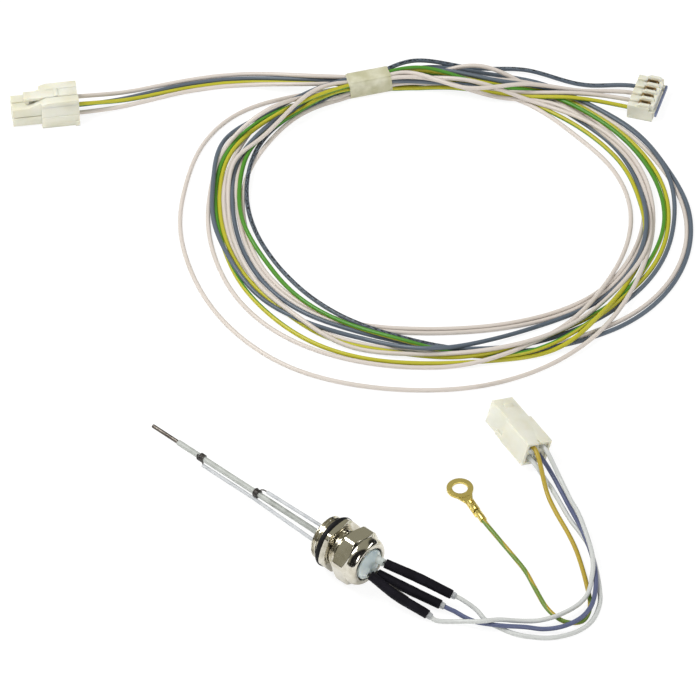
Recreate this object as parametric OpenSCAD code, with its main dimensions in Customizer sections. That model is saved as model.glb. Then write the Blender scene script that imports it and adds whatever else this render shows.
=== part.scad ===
// Flame sensing probe in a screwed gland, with its pigtail and its loose extension harness.
// Millimetres. The gland's seat plane is x = 0, its axis is X, and the probe tip points to -X.

/* [Gland] */
// Outside diameter of the gland's mounting thread
thread_d = 16; // [15:0.1:20]
// Length of the mounting thread in front of the seat
thread_len = 5.4; // [5:0.1:12]
// Chamfer on the end of the mounting thread
thread_chamfer = 0.5; // [0.2:0.1:0.8]
// Width of the relief between the thread and the seat, where the sealing ring sits
relief_w = 1.7; // [1.3:0.1:2.1]
// Depth of that relief
relief_depth = 0.25; // [0.1:0.05:0.5]
// Width across flats of the gland body's hexagon
flange_af = 18; // [18:0.1:23]
// Thickness of the gland body's hexagon
flange_t = 2.3; // [1.8:0.1:4]
// How far the body's hexagon is turned about the gland's axis
flange_turn = 4; // [0:1:59]
// Outside diameter of the threaded neck under the dome nut
neck_d = 14.4; // [13.8:0.1:14.6]
// Width across flats of the dome nut
nut_af = 18; // [17.8:0.1:22]
// Length of the dome nut's hexagon
nut_hex_len = 5.7; // [4.8:0.1:7]
// Length of the nut's dome behind its hexagon
dome_len = 3.3; // [2.8:0.1:4]
// Open gap between the body's hexagon and the dome nut
nut_gap = 3.5; // [2.8:0.1:4.2]
// How far the dome nut's hexagon is turned about the gland's axis
nut_turn = 46.5; // [0:0.5:59.5]
// Diameter of the opening in the dome nut
mouth_d = 12.3; // [11.9:0.1:13]
// Section diameter of the sealing ring in front of the seat
o_ring_section = 1.6; // [1.2:0.1:2]
// Number of clamping fingers on the body
claw_count = 8; // [6:1:10]

/* [Electrodes] */
// Distance from the seat to the tip of the long electrode
long_reach = 85.6; // [75:0.1:105]
// Bare length at the tip of the long electrode
bare_tip = 11.8; // [6:0.1:20]
// Diameter of the long electrode
long_d = 1.4; // [1:0.1:1.6]
// Diameter of the long electrode's insulating sleeve
long_sleeve_d = 2; // [1.9:0.1:2.4]
// Diameter of the two thin electrodes' wire
wire_d = 0.5; // [0.4:0.05:0.8]
// Diameter of the two thin electrodes' sleeves
thin_sleeve_d = 1.25; // [1.1:0.05:1.5]
// Distance from the seat to the middle electrode's binding
middle_reach = 62.7; // [50:0.1:68]
// Distance from the seat to the short electrode's binding
short_reach = 37.5; // [30:0.1:45]
// Turns of wire in each binding
binding_turns = 4; // [2:1:6]

/* [Pigtail] */
// Outside diameter of a lead's insulation
lead_d = 1.6; // [1.3:0.05:1.9]
// Outside diameter of the shrink sleeves over the joints
shrink_d = 3.2; // [2.9:0.1:3.4]
// Wall of the shrink sleeves
shrink_wall = 0.3; // [0.2:0.05:0.4]
// Length of the crimped splice inside each shrink sleeve
splice_len = 8; // [5:0.5:10]
// Length of the clear tube at the end of each shrink sleeve
ferrule_len = 3.5; // [2:0.5:6]
// Outside diameter of the ring terminal's eye
eye_d = 9.2; // [8:0.1:11]
// Hole in the ring terminal's eye
eye_hole_d = 5.4; // [4.3:0.1:6.4]
// Thickness of the ring terminal's sheet
sheet_t = 0.8; // [0.5:0.05:1]

/* [Pigtail socket] */
// Length of the socket housing
socket_len = 25; // [22:0.5:30]
// Length of its narrower front
socket_nose_len = 11; // [9:0.5:13]
// Width of its wider rear
socket_w = 10.2; // [9.6:0.1:12]
// Width of its narrower front
socket_nose_w = 8.6; // [8.4:0.1:9.4]
// Height of the socket housing
socket_h = 9.2; // [8.6:0.1:11]

/* [Harness plug] */
// Length of the plug housing
plug_len = 24.3; // [22:0.1:29]
// Length of the plug's four towers
plug_nose_len = 10.5; // [9:0.5:12]
// Width of the plug's rear block
plug_w = 11.7; // [10.4:0.1:14]
// Height of the plug's rear block
plug_h = 9.4; // [9:0.1:11]
// Width and height of each of the plug's four towers
tower_w = 3.8; // [3.4:0.1:4]
// Pitch of the contacts in the plug and the socket
contact_pitch = 4.2; // [4.1:0.05:4.3]

/* [Harness board connector] */
// Length of the board connector
board_len = 17.6; // [17:0.1:21]
// Depth of the board connector from its leads to its mating edge
board_depth = 9.4; // [8:0.1:11]
// Height of the board connector
board_h = 6; // [5:0.1:7.2]
// Pitch of the board connector's contacts
board_pitch = 3.96; // [3.8:0.02:4]

/* [Harness cable] */
// Mean radius of the loose coil
coil_r = 72; // [68:1:80]
// Width of the band that the coil's turns fill
coil_band = 40; // [34:1:46]
// Height of the coil
coil_h = 7; // [5:0.5:9]
// Length of the tape around the coil
tape_len = 16; // [12:0.5:22]
// Thickness of the tape's wraps
tape_t = 0.4; // [0.2:0.05:0.5]

/* [Clearances] */
// Gap between round pieces that turn or slide past each other
running_gap = 0.3; // [0.2:0.05:0.35]
// Gap around a piece that is held in a bore
held_gap = 0.02; // [0.01:0.01:0.05]

/* [Hidden] */
$fn = 48;

// Surface that the loose cables lie on, and the height of a lead's centre on it
rest_z = -10;
lead_z = rest_z + lead_d / 2;

// Stations along the gland's axis
nut_x = flange_t + nut_gap;
dome_x = nut_x + nut_hex_len;
nut_end_x = dome_x + dome_len;
shoulder_x = dome_x + 0.8;
claw_x = shoulder_x - 1.1;
neck_end_x = claw_x - 2.2;
bore_step_x = flange_t + 0.7;
bulge_x = nut_end_x + 1.4;
body_bore_d = neck_d - 2;
plug_bore_d = thread_d - 4.8;
insert_d = body_bore_d - 2 * held_gap;
insert_neck_d = mouth_d - 1.2;
nut_bore_d = neck_d + 2 * running_gap;
claw_d = neck_d - 0.5;
claw_slot_w = 0.9;

// Across-corners cuts on the hexagons, as a share of the corner circle
corner_trim = 0.965;
sqrt3_half = sqrt(3) / 2;

// Where the three electrodes pass through the gland: y and z
long_front = [1.7, -3.2];
middle_front = [-3.5, -1.1];
short_front = [0.9, 2.3];
bend_x = -thread_len - 0.5;
kink_x = bore_step_x - 0.1;
sleeve_end_x = 1.5;
long_tip_y = 0.2;
long_tip_z = -1.2;
middle_sleeve_gap = 2;
short_sleeve_gap = 4.5;

// Ends of the three shrink sleeves: the long electrode's is b, the middle's a, the short's c
shrink_a = [[17.5, -3, -0.7], [39.7, 1.3, -7.8]];
shrink_b = [[17.5, 0.1, -2.1], [40.2, 7.2, -7.2]];
shrink_c = [[17.5, 2.1, 2.1], [41.3, 11.6, -5]];
stub_len = 10;

// Poses of the three connectors: the point under the nose's end, heading and roll
socket_at = [-4.5, 88.3];
socket_heading = -17.5;
socket_roll = 16;
plug_at = [-239, 87.2];
plug_heading = 51;
board_at = [-72.7, 249.3];
board_heading = 115;
cavity_d = 2.4;
cavity_deep = 4;
mouth_w = 3.3;

// Routes of the pigtail's leads over the surface, from the shrink sleeves to the socket
lead_a_route = [
    [43.5, 3.6, -9.2], [47.2, 5.4, -9], [51.3, 7.6, -7.8], [55.8, 9.7, -6.2], [59.6, 14.4, -6.4],
    [63.8, 19, -7.6], [68.4, 23.2, -7.7], [71.8, 28.4, -7.5], [73.8, 35.6, -7.7], [74, 41, -7.7],
    [72.6, 45.9, -7.5], [70, 50.2, -6.9], [67.2, 54.2, -6.1], [62.9, 58.6, -5.9], [57.7, 62.7, -5.9],
    [51.8, 66.9, -5.9], [46.3, 70.7, -6.7], [40.7, 73.9, -7.6], [34.9, 77.3, -7.8], [30.2, 79.9, -7.4]
];
lead_b_route = [
    [45, 8.9, -8.4], [49.2, 9.6, -9], [53.4, 10.6, -9], [58.4, 12.1, -7.8], [62.6, 14.6, -7.5],
    [67.6, 18.8, -7.8], [72.3, 22.8, -8.6], [76.8, 27.4, -7.7], [78.8, 33.8, -7.5],
    [78.3, 39.2, -7.5], [76.6, 43.4, -7.6], [73.4, 48.3, -7.8], [69.9, 52.5, -7.6], [66.8, 55.5, -7.6], [62, 59.4, -7.5], [56.7, 63.1, -7.5],
    [51.5, 66.3, -7.5], [45.9, 69.7, -8.3], [39.6, 73.4, -9.2], [33, 77, -9.2], [28, 79.6, -8.9]
];
lead_c_route = [
    [46, 12.2, -6.2], [51, 12.8, -8.4], [55.4, 13.2, -9.2], [60.4, 13.8, -9.2], [65.2, 14.8, -9.2],
    [70, 17, -9.2], [76.5, 22, -9.2], [80.9, 29.6, -9.2], [81.5, 37, -9.2], [78.4, 44.5, -9.2],
    [74.1, 49.6, -9.2], [69.1, 54.3, -9.2], [63.7, 58.8, -9.2], [57.8, 62.9, -9.2], [51.6, 65.6, -9.2],
    [45.8, 67.8, -9.2], [39.6, 70.8, -9.2], [33.7, 73.8, -9.2], [28.8, 76, -9.2]
];
earth_route = [
    [29.5, 46, -9.1], [36, 44, -9.2], [43, 41.8, -9.2], [50.2, 39.3, -9.2], [57.6, 35.5, -9.2],
    [65.8, 31.5, -9.2], [72.4, 30.2, -9.2], [76.4, 31.2, -9.2], [79, 34, -9.2], [79, 37, -9.2],
    [77.6, 40.2, -9.2], [75.2, 43.3, -9.2], [71.2, 46.9, -9.2], [64.6, 52.3, -9.2], [56.4, 58.3, -9.2],
    [48.7, 62.8, -9.2], [39, 67.6, -8.9], [31.5, 71.8, -7.6]
];

// Routes of the harness leads from the plug to the tape, by lead
left_grey_route = [
    [-219.2, 114.6, -8.6], [-215.9, 124.2, -9.2], [-209.7, 136.6, -9.2], [-199, 150.6, -9.2],
    [-186, 164.2, -9.2], [-176.1, 172.6, -8.8], [-168.6, 176.2, -7.4]
];
left_white_a_route = [
    [-221, 115, -7.4], [-217.8, 125.2, -9.2], [-211.7, 138.2, -9.2], [-200.7, 152, -9.2],
    [-187.2, 165.6, -9.2], [-177.4, 174, -8.4], [-169.6, 177.3, -5.6]
];
left_white_b_route = [
    [-216.1, 112.3, -9.2], [-212.4, 122.2, -9.2], [-206.7, 134, -9.2], [-196.2, 148, -9.2],
    [-183.4, 161.6, -9.2], [-173.4, 169.5, -8.8], [-166, 173.3, -7.8]
];
left_earth_route = [
    [-218, 113.4, -7.8], [-214.1, 123.1, -9.2], [-208.2, 135.3, -9.2], [-197.6, 149.3, -9.2],
    [-184.7, 162.9, -9.2], [-174.8, 171.1, -8.4], [-167.2, 175, -5.8]
];
// Routes of the harness leads from the tape to the board connector, by lead
right_grey_route = [
    [-141, 212.2, -6.6], [-128.5, 220.9, -7], [-115.1, 228, -7], [-101.7, 235, -7], [-89, 242.7, -7]
];
right_white_a_route = [
    [-138.6, 209, -6.6], [-126.6, 217.5, -7], [-113.6, 225.2, -7], [-100.6, 232.6, -7], [-88, 240, -7]
];
right_white_b_route = [
    [-136.6, 206.2, -6.6], [-125, 214.6, -7], [-112, 222.4, -7], [-99.4, 230, -7], [-86.8, 237, -7]
];
right_earth_route = [
    [-134.6, 203.4, -6.6], [-123.4, 211.8, -7], [-110.6, 219.8, -7], [-98, 227.2, -7], [-85.8, 233.8, -7]
];

coil_at = [-85.5, 147.8];
tape_at = [-153.5, 187];
tape_heading = 58;
// Pitch of the leads that lie side by side in the tape, and the tape's outer width over four of them
slot_pitch = lead_d + 0.1;
tape_w = 4 * slot_pitch + 2 * tape_t;
// Places of the four leads where they enter and leave the tape: sideways and up, in slots from its middle
tape_in_slots = [[0.5, 0.3], [0.5, 1.4], [1.5, 0.3], [1.5, 1.4]];
tape_out_slots = [[-1.5, 0.7], [-0.5, 0.7], [0.5, 0.7], [1.5, 0.7]];
ring_step = 4;

// ---- helper functions ----

function unit(v) = v / norm(v);
function turn_z(v, a) = [v[0] * cos(a) - v[1] * sin(a), v[0] * sin(a) + v[1] * cos(a), v[2]];
function roll_x(v, a) = [v[0], v[1] * cos(a) - v[2] * sin(a), v[1] * sin(a) + v[2] * cos(a)];
function reverse(list) = [for (i = [len(list) - 1 : -1 : 0]) list[i]];

// A point of the curve that passes through p[i] and p[i + 1], at t from 0 to 1
function curve_at(p, i, t) =
    let (n = len(p) - 1, a = p[max(i - 1, 0)], b = p[i], c = p[i + 1], d = p[min(i + 2, n)])
    0.5 * (2 * b + (c - a) * t + (2 * a - 5 * b + 4 * c - d) * t * t + (3 * b - a - 3 * c + d) * t * t * t);

// The route as a smooth list of ring centres, a ring_step apart
function smooth(p) = concat(
    [for (i = [0 : len(p) - 2])
        let (steps = max(1, round(norm(p[i + 1] - p[i]) / ring_step)))
        for (k = [0 : steps - 1]) let (q = curve_at(p, i, k / steps)) [q[0], q[1], max(q[2], lead_z)]],
    [p[len(p) - 1]]
);

function tangent_at(c, i) = unit(c[min(i + 1, len(c) - 1)] - c[max(i - 1, 0)]);

// The eight corners of the ring around the centre c[i]
function ring_points(c, i, r) =
    let (t = tangent_at(c, i), side = unit(cross([0, 0, 1], t)), up = cross(t, side))
    [for (k = [0 : 7]) c[i] + r * (cos(45 * k + 22.5) * side + sin(45 * k + 22.5) * up)];

// The corners of a bent rod's ring at p[i], in the plane that halves the bend there
rod_sides = 12;
function round_points(p, i, r) =
    let (n = len(p) - 1,
         before = unit(p[max(i, 1)] - p[max(i, 1) - 1]),
         after = unit(p[min(i, n - 1) + 1] - p[min(i, n - 1)]),
         t = unit(before + after), side = unit(cross([0, 0, 1], t)), up = cross(t, side),
         turn = 180 / rod_sides)
    [for (k = [1 : 2 : 2 * rod_sides - 1]) p[i] + r * (cos(turn * k) * side + sin(turn * k) * up)];

// Electrode path from the bend in front of the thread to the end of the stub in the shrink sleeve
function rear_path(front, shrink) = [
    [bend_x, front[0], front[1]], [kink_x, front[0], front[1]],
    shrink[0], shrink[0] + unit(shrink[1] - shrink[0]) * stub_len
];
function along_long(x) =
    let (t = (x - bend_x) / (-long_reach - bend_x))
    [x, long_front[0] + t * (long_tip_y - long_front[0]), long_front[1] + t * (long_tip_z - long_front[1])];

middle_side = unit([-1.1, -1.7]);
thin_offset = long_sleeve_d / 2 + wire_d + thin_sleeve_d / 2 + 0.1;
function beside_long(x) = along_long(x) + thin_offset * [0, middle_side[0], middle_side[1]];
binding_r = long_sleeve_d / 2 + wire_d / 2 + held_gap;
binding_pitch = wire_d * 0.98;
binding_half = (binding_turns - 1) / 2 * binding_pitch;

middle_knee = beside_long(-short_reach - 1);
middle_tip = beside_long(-middle_reach + middle_sleeve_gap);
middle_hold = along_long(-middle_reach + binding_half) + binding_r * [0, middle_side[0], middle_side[1]];
short_tip = [-short_reach + short_sleeve_gap, 1.2, 1.25];
short_hold = along_long(-short_reach + binding_half) + [0, 0, binding_r];
long_path = concat([along_long(-long_reach)], rear_path(long_front, shrink_b));
middle_path = concat([middle_hold, middle_tip, middle_knee], rear_path(middle_front, shrink_a));
short_path = concat([short_hold, short_hold + [0.9, 0.05, 1.2], short_tip + [-1.4, 0, 0.1], short_tip],
                    rear_path(short_front, shrink_c));
long_sleeve_path = [
    along_long(-long_reach + bare_tip), long_path[1], [sleeve_end_x, long_front[0], long_front[1]]
];
middle_sleeve_path = [
    middle_tip, middle_knee, middle_path[3], [sleeve_end_x, middle_front[0], middle_front[1]]
];
short_sleeve_path = [short_tip, short_path[4], [sleeve_end_x, short_front[0], short_front[1]]];

// Connector frames: x runs from the nose to the rear, y across, z up, with the housing's middle at z = 0
socket_z = rest_z + socket_h / 2 * cos(socket_roll) + socket_w / 2 * sin(socket_roll);
function in_socket(v) =
    turn_z(roll_x(v, -socket_roll), socket_heading) + [socket_at[0], socket_at[1], socket_z];
function in_plug(v) = turn_z(v, plug_heading) + [plug_at[0], plug_at[1], rest_z + plug_h / 2];
function in_board(v) = turn_z(v, board_heading) + [board_at[0], board_at[1], rest_z + board_h / 2];
function in_tape(v) = turn_z(v, tape_heading) + [tape_at[0], tape_at[1], rest_z + tape_w / 2];

half_pitch = contact_pitch / 2;
// Straight ends of a route: just inside a cavity, and one lead's bend outside it
function socket_end(side, up) = [for (x = [socket_len - cavity_deep + 0.2, socket_len + 2.5])
    in_socket([x, side * half_pitch, up * half_pitch])];
function plug_end(side, up) = [for (x = [plug_len - cavity_deep + 0.2, plug_len + 2.5])
    in_plug([x, side * half_pitch, up * half_pitch])];
function board_slot_x(k) = (k - 1.5) * board_pitch;
board_lead_z = -board_h / 2 + 2.4;
function board_end(k) = [for (y = [board_depth / 2 + 2.5, board_depth / 2 - 2.3])
    in_board([board_slot_x(k), y, board_lead_z])];
function tape_end(side, slot) =
    let (place = slot_pitch * (side < 0 ? tape_in_slots[slot] : tape_out_slots[slot]))
    [for (x = (side < 0 ? [-tape_len / 2 - 3, -tape_len / 2] : [tape_len / 2, tape_len / 2 + 3]))
        in_tape([x, place[0], place[1]])];
function shrink_start(s) =
    let (d = unit(s[1] - s[0])) [s[0] + d * (stub_len + splice_len - 2), s[1], s[1] + d * ferrule_len];

lead_a_path = concat(shrink_start(shrink_a), lead_a_route, reverse(socket_end(1, 1)));
lead_b_path = concat(shrink_start(shrink_b), lead_b_route, reverse(socket_end(1, -1)));
lead_c_path = concat(shrink_start(shrink_c), lead_c_route, reverse(socket_end(-1, -1)));

// Ring terminal frame: x runs from the eye towards its lead, z up from the surface
terminal_at = [7.5, 54.4];
terminal_heading = -22;
function in_terminal(v) = turn_z(v, terminal_heading) + [terminal_at[0], terminal_at[1], rest_z];
barrel_x = eye_d / 2 + 3.2;
barrel_len = 4.8;
grip_x = barrel_x + barrel_len + 0.8;
grip_len = 4.4;
grip_r = lead_d / 2 + held_gap + sheet_t / 2;
grip_z = grip_r;
earth_path = concat(
    [in_terminal([grip_x - 0.4, 0, grip_z]), in_terminal([grip_x + grip_len + 1.2, 0, grip_z])],
    earth_route, reverse(socket_end(-1, 1))
);

// ---- helper shapes ----

// Turns a shape made along z so that it lies along the gland's axis, x
module along_x() { rotate([0, 90, 0]) children(); }

// A hexagonal bar with one corner at the given angle from y towards z
module hex_bar(af, turn, length) {
    along_x() rotate([0, 0, 90 + turn]) cylinder(d = af / sqrt3_half, h = length, $fn = 6);
}

// A straight round rod between two points
module rod(a, b, d) {
    v = b - a;
    translate(a) rotate([0, acos(v[2] / norm(v)), atan2(v[1], v[0])]) cylinder(d = d, h = norm(v));
}

// A many-sided rod through a list of points, mitred where it bends
module bent_rod(p, d) {
    n = len(p);
    points = [for (i = [0 : n - 1]) each round_points(p, i, d / 2)];
    sides = [for (i = [0 : n - 2], k = [0 : rod_sides - 1])
        [rod_sides * i + k, rod_sides * (i + 1) + k, rod_sides * (i + 1) + (k + 1) % rod_sides,
         rod_sides * i + (k + 1) % rod_sides]];
    caps = [
        [for (k = [0 : rod_sides - 1]) k],
        [for (k = [rod_sides - 1 : -1 : 0]) rod_sides * (n - 1) + k]
    ];
    polyhedron(points, concat(sides, caps), convexity = 4);
}

// A tube along a path with square ends
module sleeve_on(p, outer_d, inner_d) {
    n = len(p);
    inside = [for (i = [1 : 1 : n - 2]) p[i]];
    difference() {
        bent_rod(p, outer_d);
        bent_rod(concat([2 * p[0] - p[1]], inside, [2 * p[n - 1] - p[n - 2]]), inner_d);
    }
}

// A lead swept along a smooth curve through its route
module lead(route) {
    c = smooth(route);
    n = len(c);
    points = [for (i = [0 : n - 1]) each ring_points(c, i, lead_d / 2)];
    sides = [for (i = [0 : n - 2], k = [0 : 7])
        [8 * i + k, 8 * i + (k + 1) % 8, 8 * (i + 1) + (k + 1) % 8, 8 * (i + 1) + k]];
    caps = [[for (k = [7 : -1 : 0]) k], [for (k = [0 : 7]) 8 * (n - 1) + k]];
    polyhedron(points, concat([for (f = sides) reverse(f)], [for (f = caps) reverse(f)]), convexity = 6);
}

module in_socket_frame() {
    translate([socket_at[0], socket_at[1], socket_z]) rotate([0, 0, socket_heading])
        rotate([-socket_roll, 0, 0]) children();
}

module in_plug_frame() {
    translate([plug_at[0], plug_at[1], rest_z + plug_h / 2]) rotate([0, 0, plug_heading]) children();
}

module in_board_frame() {
    translate([board_at[0], board_at[1], rest_z + board_h / 2]) rotate([0, 0, board_heading]) children();
}

module in_tape_frame() {
    translate([tape_at[0], tape_at[1], rest_z + tape_w / 2]) rotate([0, 0, tape_heading]) children();
}

module in_terminal_frame() {
    translate([terminal_at[0], terminal_at[1], rest_z]) rotate([0, 0, terminal_heading]) children();
}

// A block from x0 to x1, centred on y and z
module block(x0, x1, w, h) {
    translate([x0, -w / 2, -h / 2]) cube([x1 - x0, w, h]);
}

// Puts a copy at each of the four contact places of the plug or the socket
module at_contacts() {
    for (side = [-1, 1], up = [-1, 1]) translate([0, side * half_pitch, up * half_pitch]) children();
}

// ---- gland ----

module gland_body() {
    color("silver") difference() {
        union() {
            along_x() translate([0, 0, -thread_len]) {
                cylinder(d1 = thread_d - 2 * thread_chamfer, d2 = thread_d, h = thread_chamfer);
                translate([0, 0, thread_chamfer])
                    cylinder(d = thread_d, h = thread_len - thread_chamfer + 0.5);
            }
            intersection() {
                hex_bar(flange_af, flange_turn, flange_t);
                along_x() cylinder(d = flange_af / sqrt3_half * corner_trim, h = flange_t);
            }
            along_x() cylinder(d = neck_d, h = neck_end_x);
            claws();
        }
        along_x() translate([0, 0, -relief_w]) difference() {
            cylinder(d = thread_d + 4, h = relief_w);
            cylinder(d = thread_d - 2 * relief_depth, h = relief_w);
        }
        along_x() translate([0, 0, -thread_len - 1])
            cylinder(d = plug_bore_d, h = thread_len + bore_step_x + 2);
        along_x() translate([0, 0, bore_step_x]) cylinder(d = body_bore_d, h = claw_x);
    }
}

// The ring of fingers that squeezes the sealing insert
module claws() {
    difference() {
        along_x() cylinder(d = claw_d, h = claw_x);
        for (k = [0 : claw_count - 1]) rotate([360 / claw_count * k, 0, 0])
            translate([neck_end_x + 0.3, -claw_slot_w / 2, 0]) cube([claw_x, claw_slot_w, claw_d]);
    }
}

module o_ring() {
    color("#181818") along_x() translate([0, 0, -o_ring_section / 2 - held_gap]) rotate_extrude()
        translate([thread_d / 2 - relief_depth + o_ring_section / 2 + held_gap, 0])
            circle(d = o_ring_section);
}

// A straight bore along x through the place of an electrode
module bore_at(yz, x0, x1, d) {
    translate([x0, yz[0], yz[1]]) along_x() cylinder(d = d, h = x1 - x0);
}

module potting_plug() {
    color("whitesmoke") difference() {
        along_x() translate([0, 0, -thread_len + 0.8])
            cylinder(d = plug_bore_d - 2 * held_gap, h = thread_len - 1 + bore_step_x);
        bore_at(long_front, 0, bore_step_x, long_d + 2 * held_gap);
        bore_at(middle_front, 0, bore_step_x, wire_d + 2 * held_gap);
        bore_at(short_front, 0, bore_step_x, wire_d + 2 * held_gap);
        bore_at(long_front, -thread_len, sleeve_end_x + held_gap, long_sleeve_d + 2 * held_gap);
        bore_at(middle_front, -thread_len, sleeve_end_x + held_gap, thin_sleeve_d + 2 * held_gap);
        bore_at(short_front, -thread_len, sleeve_end_x + held_gap, thin_sleeve_d + 2 * held_gap);
    }
}

clear_d = 2.2;
clear_start_x = bore_step_x + 2;
// The point at a station on the straight line from an electrode's kink to its shrink sleeve
function on_line(front, shrink, x) =
    let (a = [kink_x, front[0], front[1]], t = (x - kink_x) / (shrink[0][0] - kink_x))
    a + t * (shrink[0] - a);

module sealing_insert() {
    bulge = bulge_x - nut_end_x;
    bulge_r = (insert_neck_d * insert_neck_d / 4 + bulge * bulge) / (2 * bulge);
    bulge_a = asin(insert_neck_d / 2 / bulge_r);
    color("lightsteelblue") difference() {
        along_x() rotate_extrude() polygon(concat(
            [[0, bore_step_x], [insert_d / 2, bore_step_x]],
            [[insert_d / 2, claw_x], [insert_neck_d / 2, claw_x]],
            [for (k = [6 : -1 : 0])
                [bulge_r * sin(bulge_a * k / 6), bulge_x - bulge_r * (1 - cos(bulge_a * k / 6))]]
        ));
        for (e = [[long_front, shrink_b], [middle_front, shrink_a], [short_front, shrink_c]]) {
            rod(on_line(e[0], e[1], 1), on_line(e[0], e[1], 10), long_d + 2 * held_gap);
            rod(on_line(e[0], e[1], clear_start_x), e[1][0], clear_d + 2 * held_gap);
        }
    }
}

module slip_ring() {
    color("white") along_x() translate([0, 0, claw_x + running_gap]) difference() {
        cylinder(d = nut_bore_d - 2 * running_gap, h = shoulder_x - claw_x - running_gap - 0.1);
        translate([0, 0, -1]) cylinder(d = insert_neck_d + 2 * running_gap, h = 4);
    }
}

dome_tail_d = mouth_d + 1.3;

module dome_nut() {
    hex_r = nut_af / sqrt3_half / 2 * corner_trim;
    color("gainsboro") difference() {
        union() {
            intersection() {
                hex_bar(nut_af, nut_turn, nut_end_x);
                along_x() rotate_extrude() polygon([
                    [0, nut_x], [hex_r - 0.6, nut_x], [hex_r, nut_x + 0.4],
                    [hex_r, dome_x - 0.6], [nut_af / 2, dome_x], [0, dome_x]
                ]);
            }
            along_x() rotate_extrude() dome_profile();
        }
        along_x() translate([0, 0, nut_x - 1]) cylinder(d = nut_bore_d, h = shoulder_x - nut_x + 1);
        along_x() cylinder(d = mouth_d, h = nut_end_x + 1);
    }
}

// Half outline of the dome: a quarter round from the hexagon's flats to the rim
module dome_profile() {
    polygon(concat(
        [[0, dome_x - 0.5], [nut_af / 2 - 0.1, dome_x - 0.5]],
        [for (a = [0 : 10 : 90]) [
            dome_tail_d / 2 + (nut_af / 2 - 0.1 - dome_tail_d / 2) * cos(a), dome_x + dome_len * sin(a)]],
        [[0, nut_end_x]]
    ));
}

// ---- electrodes ----

module long_electrode() {
    color("dimgray") bent_rod(long_path, long_d);
}

// Turns of a thin electrode's wire around the long electrode's sleeve
module binding(reach) {
    axis = unit(along_long(-reach - 1) - along_long(-reach));
    translate(along_long(-reach)) rotate([0, acos(axis[2]), atan2(axis[1], axis[0])])
        rotate_extrude() union() {
            for (k = [0 : binding_turns - 1])
                translate([binding_r, k * binding_pitch - binding_half]) circle(d = wire_d, $fn = 24);
        }
}

module middle_electrode() {
    color("#444444") {
        bent_rod(middle_path, wire_d);
        binding(middle_reach);
    }
}

module short_electrode() {
    color("#444444") {
        bent_rod(short_path, wire_d);
        binding(short_reach);
    }
}

module long_sleeve() {
    color("lightgray") sleeve_on(long_sleeve_path, long_sleeve_d, long_d + 2 * held_gap);
}

module middle_sleeve() {
    color("lightgray") sleeve_on(middle_sleeve_path, thin_sleeve_d, wire_d + 2 * held_gap);
}

module short_sleeve() {
    color("lightgray") sleeve_on(short_sleeve_path, thin_sleeve_d, wire_d + 2 * held_gap);
}

// ---- joints between the electrodes and the leads ----

module clear_sleeve(front, s) {
    x0 = clear_start_x + held_gap;
    color("azure", 0.6) difference() {
        rod(on_line(front, s, x0), on_line(front, s, s[0][0] - 0.9), clear_d);
        rod(on_line(front, s, x0 - 1), on_line(front, s, s[0][0]), long_d + 2 * held_gap);
    }
}

module shrink_sleeve(s) {
    color("#1c1c1c") difference() {
        rod(s[0], s[1], shrink_d);
        d = unit(s[1] - s[0]);
        rod(s[0] - d, s[1] + d, shrink_d - 2 * shrink_wall);
    }
}

splice_d = shrink_d - 2 * shrink_wall - 2 * held_gap;

module splice(s, stub_d) {
    d = unit(s[1] - s[0]);
    start = s[0] + d * (stub_len - 3);
    end = start + d * splice_len;
    color("silver") difference() {
        rod(start, end, splice_d);
        rod(start - d, start + d * 3, stub_d + 2 * held_gap);
        rod(end - d, end + d, lead_d + 2 * running_gap);
    }
}

module lead_ferrule(s) {
    d = unit(s[1] - s[0]);
    outer_d = shrink_d - 2 * shrink_wall - 2 * held_gap;
    color("lightgray", 0.7) difference() {
        rod(s[1] - d * 2, s[1] + d * (ferrule_len - 2), outer_d);
        rod(s[1] - d * 3, s[1] + d * ferrule_len, lead_d + 2 * held_gap);
    }
}

// ---- pigtail ----

module ring_terminal() {
    neck_w = 2.6;
    color("#b39a3e") in_terminal_frame() difference() {
        union() {
            cylinder(d = eye_d, h = sheet_t);
            linear_extrude(sheet_t) polygon([
                [0, eye_d / 2], [eye_d / 2 * 0.6, eye_d / 2 * 0.8],
                [barrel_x - 1, neck_w / 2], [barrel_x, neck_w / 2],
                [barrel_x, -neck_w / 2], [barrel_x - 1, -neck_w / 2],
                [eye_d / 2 * 0.6, -eye_d / 2 * 0.8], [0, -eye_d / 2]
            ]);
            translate([barrel_x - 0.5, -neck_w / 2, 0]) cube([grip_x - barrel_x + 1, neck_w, sheet_t]);
            translate([barrel_x, 0, neck_w / 2]) rotate([0, 90, 0]) cylinder(d = neck_w, h = barrel_len);
            translate([grip_x, 0, grip_z]) rotate([0, 90, 0]) cylinder(r = grip_r, h = grip_len);
        }
        translate([0, 0, -1]) cylinder(d = eye_hole_d, h = sheet_t + 2);
        translate([grip_x - 0.5, 0, grip_z]) rotate([0, 90, 0])
            cylinder(d = lead_d + 2 * held_gap, h = grip_len + 1);
        translate([barrel_x - 1, 0, neck_w / 2]) rotate([0, 90, 0]) cylinder(d = 1, h = barrel_len + 1.4);
    }
}

module socket_housing() {
    color("ivory") in_socket_frame() difference() {
        union() {
            block(0, socket_nose_len + 1, socket_nose_w, socket_h);
            block(socket_nose_len, socket_len, socket_w, socket_h);
            // Ramp that a plug's latch hooks over
            translate([3, -1.6, socket_h / 2 - 0.5]) cube([2.2, 3.2, 1.2]);
        }
        at_contacts() {
            block(-1, socket_nose_len + 3, mouth_w, mouth_w);
            translate([socket_len - cavity_deep, 0, 0]) along_x()
                cylinder(d = cavity_d, h = cavity_deep + 1);
            translate([socket_nose_len + 2, 0, 0]) along_x() cylinder(d = 1.4, h = socket_len);
        }
    }
}

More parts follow.
